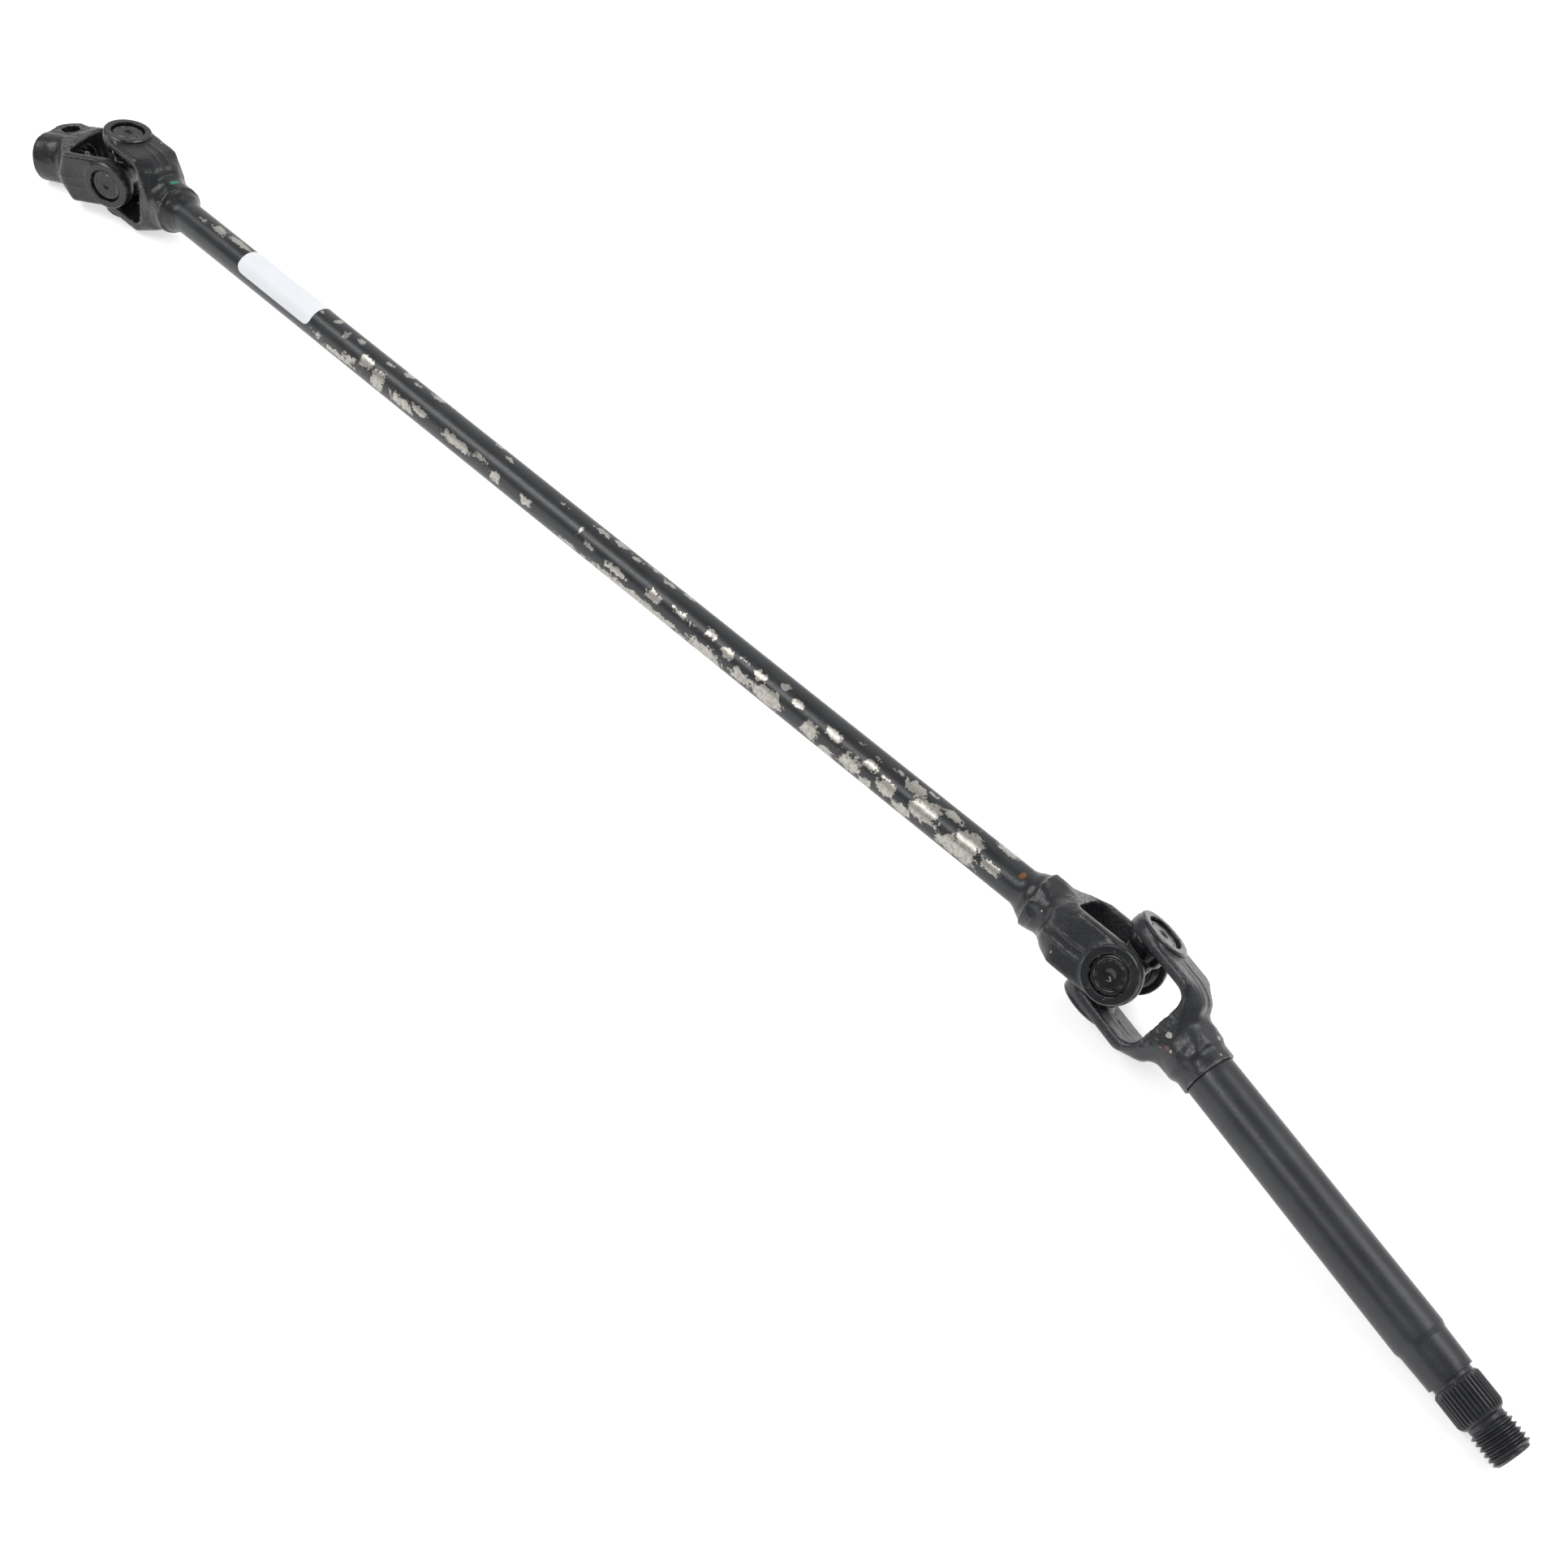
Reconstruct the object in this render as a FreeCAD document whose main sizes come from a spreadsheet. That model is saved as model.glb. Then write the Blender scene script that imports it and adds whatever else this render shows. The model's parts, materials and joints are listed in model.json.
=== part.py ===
import FreeCAD, Part
import math
import os

import Sketcher
from FreeCAD import Placement, Rotation, Vector

# A double-jointed steering shaft: a clamp yoke, a long shaft between two universal joints,
# and a splined column shaft. It lies on a flat surface, +Z up, the long shaft along X.
# Each piece is built about its own joint: Z runs out along its hub, X through its ears.

SIZES = [
    ("joint_spacing", 638.0, "centre of the upper joint to centre of the lower joint"),
    ("yoke_turn", 60.0, "turn of the lower yoke against the upper yoke about the long shaft, degrees"),
    ("clamp_swing", 24.9, "how far the clamp yoke is swung sideways as it lies, degrees"),
    ("column_swing", 12.9, "how far the column shaft is swung sideways as it lies, degrees"),
    ("ear_face", 21.4, "joint centre to the machined face of an ear"),
    ("boss_radius", 11.5, "round machined boss on each ear"),
    ("boss_chamfer", 0.6, "chamfer round a boss"),
    ("arm_outer", 19.7, "joint centre to the outside of an arm"),
    ("arm_inner", 14.8, "joint centre to the inside of an arm"),
    ("arm_half_width", 12.1, "half the width of an arm, and the radius of its end"),
    ("arm_rounding", 1.6, "rounding along the edges of the arms"),
    ("throat_depth", 26.0, "joint centre to the bottom of the fork"),
    ("throat_corner", 5.5, "rounding in the corners of the fork"),
    ("shoulder_corner", 0.8, "heel of the fork to where the arms would turn in if not rounded"),
    ("shoulder_end", 5.3, "heel of the fork to where the shoulders meet the neck"),
    ("shoulder_rounding", 11.0, "rounding of the shoulders"),
    ("shoulder_trim_start", 4.0, "heel of the fork back to where its corners are worn round"),
    ("shoulder_trim_radius", 13.5, "radius of that rounding where the shoulders meet the neck"),
    ("neck_start", 7.8, "heel of the fork to the narrowest place behind it"),
    ("neck_radius", 12.1, "radius of the narrowest place behind the fork"),
    ("bulge_at", 14.5, "heel of the fork to the middle of the swelling on the hub"),
    ("bulge_radius", 12.5, "radius of the swelling on the hub"),
    ("bulge_half_length", 2.2, "half the length of the flat of the swelling"),
    ("hub_radius", 11.4, "radius of the hub behind the swelling"),
    ("hub_end", 24.3, "heel of the fork to the end of a hub"),
    ("taper_start", 17.6, "heel of the fork to where a hub tapers to the long shaft"),
    ("taper_radius", 11.2, "radius of a hub where it starts to taper to the long shaft"),
    ("collar_start", 19.0, "heel of the fork to the straight collar behind the swelling"),
    ("taper_lip", 0.5, "wall of a tapered hub at its end"),
    ("shaft_seat", 5.0, "heel of the fork to the end of the shaft inside a hub"),
    ("shaft_radius", 8.0, "radius of the long shaft"),
    ("shaft_chamfer", 0.8, "chamfer on the hidden ends of both shafts"),
    ("cup_radius", 8.0, "outside radius of a bearing cup"),
    ("cup_recess", 1.2, "depth of a cup below the face of its ear"),
    ("cup_length", 10.3, "length of a cup"),
    ("cup_floor", 2.0, "thickness of the closed end of a cup"),
    ("cup_rounding", 0.9, "rounding round the closed end of a cup"),
    ("cup_dimple_radius", 2.2, "dimple in the middle of a cup"),
    ("cup_dimple_depth", 0.7, "depth of that dimple in its middle"),
    ("cup_dimple_step_radius", 1.1, "radius inside which the dimple is nearly flat"),
    ("cup_dimple_step_depth", 0.56, "depth of the dimple at that radius"),
    ("cup_ring_radius", 5.8, "radius of the fine step turned in the end of a cup"),
    ("cup_ring_depth", 0.25, "depth of that step"),
    ("stake_radius", 1.0, "radius of a stake mark that holds a cup in"),
    ("stake_spread", 24.0, "angle of a stake mark from the line of the hub, degrees"),
    ("stake_height", 0.9, "height of a stake mark above the cup"),
    ("stake_overhang", 0.55, "how far a stake mark reaches over the cup"),
    ("trunnion_radius", 4.8, "radius of the journals of a cross"),
    ("trunnion_play", 0.1, "end play between a journal and the floor of its cup"),
    ("needle_radius", 0.875, "radius of a needle roller"),
    ("needle_play", 0.03, "clearance of the needles to the journal and to the cup"),
    ("needle_count", 20, "needle rollers in a cup"),
    ("needle_length", 6.9, "length of a needle roller"),
    ("cross_shoulder_radius", 6.8, "radius of the shoulders of a cross"),
    ("cross_shoulder", 8.5, "joint centre to the shoulder that a seal sits on"),
    ("cross_web_radius", 8.2, "radius of the web that fills between the arms of a cross"),
    ("cross_web_height", 9.0, "height of that web"),
    ("cross_web_chamfer", 1.0, "chamfer round that web"),
    ("seal_radius", 7.6, "outside radius of a seal"),
    ("seal_chamfer", 0.4, "chamfer round the inner side of a seal"),
    ("seal_play", 0.1, "clearance of a seal to the mouth of its cup"),
    ("column_radius", 10.1, "radius of the bearing journal of the column shaft"),
    ("column_seat_radius", 9.2, "radius of the column shaft inside its yoke"),
    ("journal_end", 161.0, "joint centre to the end of the bearing journal"),
    ("step_end", 163.3, "joint centre to the end of the sloping step"),
    ("seat_radius", 9.4, "radius of the taper seat at its thick end"),
    ("seat_end_radius", 9.0, "radius of the taper seat at its thin end"),
    ("seat_end", 176.7, "joint centre to the end of the taper seat"),
    ("groove_radius", 7.75, "radius of the relief groove before the spline"),
    ("groove_end", 178.2, "joint centre to the end of the relief groove"),
    ("spline_radius", 9.0, "radius over the teeth of the spline"),
    ("spline_depth", 0.75, "depth of the teeth of the spline"),
    ("spline_count", 36, "teeth of the spline"),
    ("spline_gap_share", 0.8, "share of the distance between two teeth that is open at the tips"),
    ("spline_start", 179.5, "joint centre to the start of the full teeth"),
    ("spline_end", 191.1, "joint centre to the end of the full teeth"),
    ("undercut_radius", 7.0, "radius of the undercut before the thread"),
    ("undercut_start", 192.8, "joint centre to the start of the undercut"),
    ("undercut_end", 194.3, "joint centre to the end of the undercut"),
    ("thread_radius", 7.9, "radius over the thread"),
    ("thread_start", 195.2, "joint centre to the start of the thread"),
    ("thread_end", 205.3, "joint centre to the chamfer at the tip"),
    ("tip_radius", 6.3, "radius of the flat end of the tip"),
    ("tip_end", 206.6, "joint centre to the tip"),
    ("clamp_throat_depth", 23.5, "joint centre to the bottom of the clamp yoke's fork"),
    ("clamp_heel", 2.5, "bottom of the clamp yoke's fork to the heel it shares with the others"),
    ("clamp_hub_radius", 12.0, "outside radius of the clamp hub"),
    ("clamp_shoulder_rounding", 7.0, "rounding of the shoulders of the clamp yoke"),
    ("clamp_hub_end", 48.5, "joint centre to the end of the clamp hub"),
    ("clamp_hub_rounding", 2.2, "rounding round the end of the clamp hub"),
    ("clamp_bore_radius", 8.5, "radius of the bore of the clamp hub"),
    ("bolt_at", 37.5, "joint centre to the axis of the pinch bolt hole"),
    ("bolt_offset", 10.6, "axis of the clamp bore to the axis of the pinch bolt hole"),
    ("bolt_hole_radius", 4.5, "radius of the pinch bolt hole"),
    ("pinch_half_width", 11.6, "joint plane to the face that the bolt head bears on"),
    ("pinch_radius", 8.7, "radius of the rounded clamp ear round the bolt hole"),
    ("slit_half_width", 1.5, "half the width of the slit in the clamp hub"),
    ("label_start", 100.0, "upper joint centre to the near end of the paper label"),
    ("label_length", 54.8, "length of the label along the shaft"),
    ("label_wrap", 229.0, "how far the label goes round the shaft, degrees"),
    ("label_lean", -30.5, "turn of the middle of the label from the upper ears, degrees"),
    ("label_thickness", 0.15, "thickness of the label"),
    ("floor_clearance", 0.03, "how far what rests on the surface is kept above it"),
    ("tooth_overcut", 0.2, "how far the cut between two teeth runs out past their tips"),
    ("overlap", 1.0, "how far a cut runs past its piece, or a hub reaches into its fork"),
    ("slit_relief", 0.5, "how far the slit runs on past the clamp ears"),
]

# Two lengths that differ by less than this are taken as the same, in millimetres.
CLOSE = 0.05

# The heel is where the stations behind a fork are measured from, along the hub.
HEEL = "Size.throat_depth"
CLAMP_HEEL = "(Size.clamp_throat_depth + Size.clamp_heel)"
HUB_END = HEEL + " + Size.hub_end"
SHAFT_SEAT = HEEL + " + Size.shaft_seat"

# The resting pose has settled to far less than a micron after this many rounds.
ROUNDS = 20

document = FreeCAD.newDocument("SteeringShaft")


def make_sheet():
    sheet = document.addObject("Spreadsheet::Sheet", "Size")
    for row, (alias, value, meaning) in enumerate(SIZES, start=1):
        sheet.set("A%d" % row, meaning)
        sheet.set("B%d" % row, str(value))
        sheet.setAlias("B%d" % row, alias)
    document.recompute()
    return sheet


size = make_sheet()


def number(expression):
    return float(size.evalExpression(expression))


def origin_feature(body, role):
    return next(item for item in body.Origin.OriginFeatures if item.Role == role)


def new_body(label):
    body = document.addObject("PartDesign::Body", label)
    body.Label = label
    return body


def new_sketch(body, name, plane, lift=None):
    sketch = body.newObject("Sketcher::SketchObject", name)
    sketch.AttachmentSupport = (origin_feature(body, plane), [""])
    sketch.MapMode = "FlatFace"
    if lift is not None:
        sketch.setExpression("AttachmentOffset.Base.z", lift)
    return sketch


def pin_point(sketch, geometry, point, across, along):
    """Ties one point of a sketch to two expressions, measured from the origin."""
    for kind, axis, expression in (("DistanceX", -2, across), ("DistanceY", -1, along)):
        if expression == "0":
            sketch.addConstraint(Sketcher.Constraint("PointOnObject", geometry, point, axis))
            continue
        dimension = Sketcher.Constraint(kind, -1, 1, geometry, point, number(expression))
        index = sketch.addConstraint(dimension)
        sketch.setExpression("Constraints[%d]" % index, expression)


def draw_outline(sketch, corners):
    """Draws a closed outline of straight lines through corners given as expressions."""
    spots = [Vector(number(across), number(along), 0) for across, along in corners]
    count = len(corners)
    for index in range(count):
        sketch.addGeometry(Part.LineSegment(spots[index], spots[(index + 1) % count]))
    for index in range(count):
        following = (index + 1) % count
        sketch.addConstraint(Sketcher.Constraint("Coincident", index, 2, following, 1))
    for index, (across, along) in enumerate(corners):
        pin_point(sketch, index, 1, across, along)


def draw_circle(sketch, across, along, radius):
    centre = Vector(number(across), number(along), 0)
    circle = Part.Circle(centre, Vector(0, 0, 1), number(radius))
    geometry = sketch.addGeometry(circle)
    index = sketch.addConstraint(Sketcher.Constraint("Radius", geometry, number(radius)))
    sketch.setExpression("Constraints[%d]" % index, radius)
    pin_point(sketch, geometry, 3, across, along)


def extrude(body, kind, name, sketch, length=None, symmetric=False, reverse=False):
    feature = body.newObject(kind, name)
    feature.Profile = sketch
    feature.SideType = "Symmetric" if symmetric else "One side"
    feature.Reversed = reverse
    if length is None:
        feature.Type = "ThroughAll"
    else:
        feature.setExpression("Length", length)
    return feature


def pad(body, name, sketch, length, symmetric=False, reverse=False):
    return extrude(body, "PartDesign::Pad", name, sketch, length, symmetric, reverse)


def pocket(body, name, sketch, length=None, symmetric=False, reverse=False):
    return extrude(body, "PartDesign::Pocket", name, sketch, length, symmetric, reverse)


def turn(body, kind, name, sketch, axis):
    feature = body.newObject(kind, name)
    feature.Profile = sketch
    feature.ReferenceAxis = (origin_feature(body, axis), [""])
    feature.Angle = 360
    return feature


def mirror(body, name, features, plane):
    feature = body.newObject("PartDesign::Mirrored", name)
    feature.Originals = features
    feature.MirrorPlane = (origin_feature(body, plane), [""])
    body.Tip = feature
    return feature


def repeat_round(body, name, feature, axis, count):
    pattern = body.newObject("PartDesign::PolarPattern", name)
    pattern.Originals = [feature]
    pattern.Axis = (origin_feature(body, axis), [""])
    pattern.Angle = 360
    pattern.setExpression("Occurrences", count)
    body.Tip = pattern
    return pattern


def dress(body, kind, name, base, wanted, amount):
    """Rounds or chamfers the edges of a feature that pass the test wanted(edge)."""
    document.recompute()
    edges = base.Shape.Edges
    names = ["Edge%d" % (index + 1) for index, edge in enumerate(edges) if wanted(edge)]
    if not names:
        raise ValueError("%s finds no edge on %s" % (name, body.Label))
    feature = body.newObject(kind, name)
    feature.Base = (base, names)
    property_name = "Radius" if kind.endswith("Fillet") else "Size"
    feature.setExpression(property_name, amount)
    return feature


def middle(edge):
    return edge.valueAt((edge.FirstParameter + edge.LastParameter) / 2)


def near(value, target):
    return abs(value - target) < CLOSE


def is_round(edge, radius):
    return edge.Curve.TypeId == "Part::GeomCircle" and near(edge.Curve.Radius, radius)


def is_rim(edge):
    return edge.Curve.TypeId == "Part::GeomCircle"


def draw_ear_ends(sketch):
    """The waste outside a half circle round the joint, cut off the ends of both arms."""
    reach = "Size.arm_half_width"
    far = "-%s - Size.overlap" % reach
    radius = number(reach)
    low = number(far)
    arc = Part.ArcOfCircle(Part.Circle(Vector(), Vector(0, 0, 1), radius), math.pi, 2 * math.pi)
    corners = [Vector(-radius, 0), Vector(-radius, low), Vector(radius, low), Vector(radius, 0)]
    curve = sketch.addGeometry(arc)
    lines = [sketch.addGeometry(Part.LineSegment(a, b)) for a, b in zip(corners, corners[1:])]
    sketch.addConstraint(Sketcher.Constraint("Coincident", curve, 3, -1, 1))
    sketch.addConstraint(Sketcher.Constraint("Coincident", curve, 1, lines[0], 1))
    sketch.addConstraint(Sketcher.Constraint("Coincident", lines[0], 2, lines[1], 1))
    sketch.addConstraint(Sketcher.Constraint("Coincident", lines[1], 2, lines[2], 1))
    sketch.addConstraint(Sketcher.Constraint("Coincident", lines[2], 2, curve, 2))
    pin_point(sketch, lines[0], 1, "-" + reach, "0")
    pin_point(sketch, lines[1], 1, "-" + reach, far)
    pin_point(sketch, lines[1], 2, reach, far)
    sketch.addConstraint(Sketcher.Constraint("PointOnObject", lines[2], 2, -1))


def add_fork(body, throat_depth, heel, shoulder_rounding):
    """The forged U of a yoke, open towards -Z, with rounded shoulders and ends."""
    side = new_sketch(body, "fork_side", "XZ_Plane")
    right = [
        ("Size.arm_inner", "-Size.arm_half_width"),
        ("Size.arm_outer", "-Size.arm_half_width"),
        ("Size.arm_outer", heel + " + Size.shoulder_corner"),
        ("Size.neck_radius", heel + " + Size.shoulder_end"),
        ("Size.neck_radius", heel + " + Size.neck_start"),
    ]
    left = [("-" + across, along) for across, along in reversed(right)]
    throat = [("-Size.arm_inner", throat_depth), ("Size.arm_inner", throat_depth)]
    draw_outline(side, right + left + throat)
    block = pad(body, "fork_block", side, "2 * Size.arm_half_width", symmetric=True)
    outer = number("Size.arm_outer")
    inner = number("Size.arm_inner")
    corner = number(heel + " + Size.shoulder_corner")
    depth = number(throat_depth)

    def at_shoulder(edge):
        spot = middle(edge)
        return near(abs(spot.x), outer) and near(spot.z, corner) and near(spot.y, 0)

    dress(body, "PartDesign::Fillet", "shoulders", block, at_shoulder, shoulder_rounding)
    ends = new_sketch(body, "ear_ends", "YZ_Plane")
    draw_ear_ends(ends)
    rounded = pocket(body, "rounded_ends", ends, "4 * Size.arm_outer", symmetric=True)

    def along_arm(edge):
        spot = middle(edge)
        on_side = near(abs(spot.y), number("Size.arm_half_width"))
        return near(abs(spot.x), outer) or (on_side and abs(spot.x) > (inner + outer) / 2)

    smooth = dress(body, "PartDesign::Fillet", "arm_edges", rounded, along_arm, "Size.arm_rounding")

    def in_throat(edge):
        spot = middle(edge)
        return near(abs(spot.x), inner) and near(spot.z, depth) and near(spot.y, 0)

    dress(body, "PartDesign::Fillet", "throat_corners", smooth, in_throat, "Size.throat_corner")


def round_shoulders(body, heel):
    """Turns the corners of the shoulders down to the round neck, as the forging is drawn in."""
    sketch = new_sketch(body, "shoulder_trim_outline", "XZ_Plane")
    outside = "2 * Size.arm_outer"
    start = heel + " - Size.shoulder_trim_start"
    neck = heel + " + Size.neck_start"
    outline = [
        ("sqrt(Size.arm_outer ^ 2 + Size.arm_half_width ^ 2)", start),
        ("Size.shoulder_trim_radius", heel + " + Size.shoulder_end"),
        ("Size.neck_radius", neck),
        ("Size.neck_radius", neck + " + Size.overlap"),
        (outside, neck + " + Size.overlap"),
        (outside, start),
    ]
    draw_outline(sketch, outline)
    turn(body, "PartDesign::Groove", "round_shoulders", sketch, "Z_Axis")


def add_hub(body, outline):
    sketch = new_sketch(body, "hub_outline", "XZ_Plane")
    draw_outline(sketch, outline)
    return turn(body, "PartDesign::Revolution", "hub", sketch, "Z_Axis")


def add_bosses(body):
    """The two machined bosses, the through bore for the cups and the stake marks."""
    face = new_sketch(body, "boss_circle", "YZ_Plane", lift="Size.arm_inner")
    draw_circle(face, "0", "0", "Size.boss_radius")
    boss = pad(body, "boss", face, "Size.ear_face - Size.arm_inner")
    both = mirror(body, "both_bosses", [boss], "YZ_Plane")
    rim_at = number("Size.ear_face")
    rim = number("Size.boss_radius")

    def on_rim(edge):
        return is_round(edge, rim) and near(abs(middle(edge).x), rim_at)

    dress(body, "PartDesign::Chamfer", "boss_chamfer", both, on_rim, "Size.boss_chamfer")

    bore = new_sketch(body, "cup_bore_circle", "YZ_Plane")
    draw_circle(bore, "0", "0", "Size.cup_radius")
    pocket(body, "cup_bores", bore, "4 * Size.ear_face", symmetric=True)

    cup_face = "Size.ear_face - Size.cup_recess"
    marks = new_sketch(body, "stake_circles", "YZ_Plane", lift=cup_face)
    reach = "(Size.cup_radius + Size.stake_radius - Size.stake_overhang)"
    for side in ("", "-"):
        for end in ("", "-"):
            across = "%s%s * sin(Size.stake_spread)" % (side, reach)
            along = "%s%s * cos(Size.stake_spread)" % (end, reach)
            draw_circle(marks, across, along, "Size.stake_radius")
    stakes = pad(body, "stakes", marks, "Size.stake_height")
    mirror(body, "both_sets_of_stakes", [stakes], "YZ_Plane")


def bore_hub(body, radius, start, end):
    """Bores a hub along Z from its end down to start."""
    sketch = new_sketch(body, "shaft_bore_outline", "XZ_Plane")
    outline = [("0", start), (radius, start), (radius, end), ("0", end)]
    draw_outline(sketch, outline)
    turn(body, "PartDesign::Groove", "shaft_bore", sketch, "Z_Axis")


def make_shaft_yoke(label, bore_radius, tail):
    """A forged yoke whose hub swells behind the fork and then follows the given tail."""
    body = new_body(label)
    add_fork(body, "Size.throat_depth", HEEL, "Size.shoulder_rounding")
    round_shoulders(body, HEEL)
    start = "Size.throat_depth + Size.overlap"
    bulge_start = "Size.bulge_at - Size.bulge_half_length"
    outline = [
        ("0", start),
        ("Size.neck_radius", start),
        ("Size.neck_radius", HEEL + " + (Size.neck_start + %s) / 2" % bulge_start),
        ("Size.bulge_radius", HEEL + " + " + bulge_start),
        ("Size.bulge_radius", HEEL + " + Size.bulge_at + Size.bulge_half_length"),
    ]
    outline += tail + [("0", HUB_END)]
    add_hub(body, outline)
    add_bosses(body)
    bore_hub(body, bore_radius, SHAFT_SEAT, HUB_END + " + Size.overlap")
    return body


def tapered_tail():
    return [
        ("Size.taper_radius", HEEL + " + Size.taper_start"),
        ("Size.shaft_radius + Size.taper_lip", HUB_END),
    ]


def straight_tail():
    return [
        ("Size.hub_radius", HEEL + " + Size.collar_start"),
        ("Size.hub_radius", HUB_END),
    ]


def add_pinch_ears(body):
    """The clamp ears on the -X side, running on from the arm, with the bolt hole across them."""
    ears = new_sketch(body, "pinch_ear_outline", "XZ_Plane")
    outside = "-(Size.bolt_offset + Size.pinch_radius)"
    end = "Size.bolt_at + Size.pinch_radius"
    start = "Size.clamp_throat_depth + Size.overlap"
    draw_outline(ears, [("0", start), ("0", end), (outside, end), (outside, start)])
    block = pad(body, "pinch_ears", ears, "2 * Size.pinch_half_width", symmetric=True)
    corner = Vector(number(outside), 0, number(end))

    def at_ear_corner(edge):
        return near(middle(edge).distanceToPoint(corner), 0)

    dress(body, "PartDesign::Fillet", "round_ears", block, at_ear_corner, "Size.pinch_radius")
    hole = new_sketch(body, "bolt_circle", "XZ_Plane")
    draw_circle(hole, "-Size.bolt_offset", "Size.bolt_at", "Size.bolt_hole_radius")
    pocket(body, "bolt_hole", hole, "4 * Size.pinch_half_width", symmetric=True)


def cut_slit(body):
    slit = new_sketch(body, "slit_outline", "XZ_Plane")
    start = "Size.bolt_at - Size.pinch_radius - Size.slit_relief"
    end = "Size.clamp_hub_end + Size.overlap"
    outside = "-2 * Size.clamp_hub_radius"
    outline = [("0", start), ("0", end), (outside, end), (outside, start)]
    draw_outline(slit, outline)
    pocket(body, "slit", slit, "2 * Size.slit_half_width", symmetric=True)


def make_clamp_yoke():
    """The forged yoke that clamps on the steering gear's input shaft."""
    body = new_body("clamp_yoke")
    add_fork(body, "Size.clamp_throat_depth", CLAMP_HEEL, "Size.clamp_shoulder_rounding")
    round_shoulders(body, CLAMP_HEEL)
    outline = [
        ("0", "Size.clamp_throat_depth + Size.overlap"),
        ("Size.clamp_hub_radius", "Size.clamp_throat_depth + Size.overlap"),
        ("Size.clamp_hub_radius", "Size.clamp_hub_end"),
        ("0", "Size.clamp_hub_end"),
    ]
    hub = add_hub(body, outline)
    radius = number("Size.clamp_hub_radius")
    end = number("Size.clamp_hub_end")

    def on_hub_end(edge):
        return is_round(edge, radius) and near(middle(edge).z, end)

    dress(body, "PartDesign::Fillet", "hub_end_edge", hub, on_hub_end, "Size.clamp_hub_rounding")
    add_pinch_ears(body)
    add_bosses(body)
    start = "Size.clamp_throat_depth - Size.overlap"
    bore_hub(body, "Size.clamp_bore_radius", start, "Size.clamp_hub_end + Size.overlap")
    cut_slit(body)
    return body


def make_turned(label, outline):
    """A turned piece about Z."""
    body = new_body(label)
    sketch = new_sketch(body, "turned_outline", "XZ_Plane")
    draw_outline(sketch, outline)
    turn(body, "PartDesign::Revolution", "turned", sketch, "Z_Axis")
    return body


def make_main_shaft():
    far_end = "Size.joint_spacing - (%s)" % SHAFT_SEAT
    outline = [
        ("0", SHAFT_SEAT),
        ("Size.shaft_radius - Size.shaft_chamfer", SHAFT_SEAT),
        ("Size.shaft_radius", SHAFT_SEAT + " + Size.shaft_chamfer"),
        ("Size.shaft_radius", far_end + " - Size.shaft_chamfer"),
        ("Size.shaft_radius - Size.shaft_chamfer", far_end),
        ("0", far_end),
    ]
    return make_turned("main_shaft", outline)


def make_column_shaft():
    """The column shaft: yoke seat, journal, taper seat, groove, spline, undercut and thread."""
    outline = [
        ("0", SHAFT_SEAT),
        ("Size.column_seat_radius - Size.shaft_chamfer", SHAFT_SEAT),
        ("Size.column_seat_radius", SHAFT_SEAT + " + Size.shaft_chamfer"),
        ("Size.column_seat_radius", HUB_END),
        ("Size.column_radius", HUB_END),
        ("Size.column_radius", "Size.journal_end"),
        ("Size.seat_radius", "Size.step_end"),
        ("Size.seat_end_radius", "Size.seat_end"),
        ("Size.groove_radius", "Size.seat_end"),
        ("Size.groove_radius", "Size.groove_end"),
        ("Size.spline_radius", "Size.spline_start"),
        ("Size.spline_radius", "Size.spline_end"),
        ("Size.undercut_radius", "Size.undercut_start"),
        ("Size.undercut_radius", "Size.undercut_end"),
        ("Size.thread_radius", "Size.thread_start"),
        ("Size.thread_radius", "Size.thread_end"),
        ("Size.tip_radius", "Size.tip_end"),
        ("0", "Size.tip_end"),
    ]
    body = make_turned("column_shaft", outline)
    tooth_gap = new_sketch(body, "tooth_gap", "XY_Plane", lift="Size.groove_end")
    half_gap = "Size.spline_radius * sin(180 deg / Size.spline_count) * Size.spline_gap_share"
    outline = [
        ("Size.spline_radius - Size.spline_depth", "0"),
        ("Size.spline_radius + Size.tooth_overcut", "-" + half_gap),
        ("Size.spline_radius + Size.tooth_overcut", half_gap),
    ]
    draw_outline(tooth_gap, outline)
    length = "Size.undercut_start - Size.groove_end"
    gap = pocket(body, "first_gap", tooth_gap, length, reverse=True)
    repeat_round(body, "spline", gap, "Z_Axis", "Size.spline_count")
    return body


def make_cross(label):
    """A cross with four journals along X and Y, and the shoulders that the seals sit on."""
    body = new_body(label)
    trunnion_end = "(Size.ear_face - Size.cup_recess - Size.cup_floor - Size.trunnion_play)"
    web = new_sketch(body, "web_circle", "XY_Plane")
    draw_circle(web, "0", "0", "Size.cross_web_radius")
    disc = pad(body, "web", web, "Size.cross_web_height", symmetric=True)
    dress(body, "PartDesign::Chamfer", "web_edges", disc, is_rim, "Size.cross_web_chamfer")
    for name, plane in (("x", "YZ_Plane"), ("y", "XZ_Plane")):
        sketch = new_sketch(body, name + "_shoulder_circle", plane)
        draw_circle(sketch, "0", "0", "Size.cross_shoulder_radius")
        pad(body, name + "_shoulders", sketch, "2 * Size.cross_shoulder", symmetric=True)
    for name, plane in (("x", "YZ_Plane"), ("y", "XZ_Plane")):
        sketch = new_sketch(body, name + "_journal_circle", plane)
        draw_circle(sketch, "0", "0", "Size.trunnion_radius")
        pad(body, name + "_journals", sketch, "2 * " + trunnion_end, symmetric=True)
    return body


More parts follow.
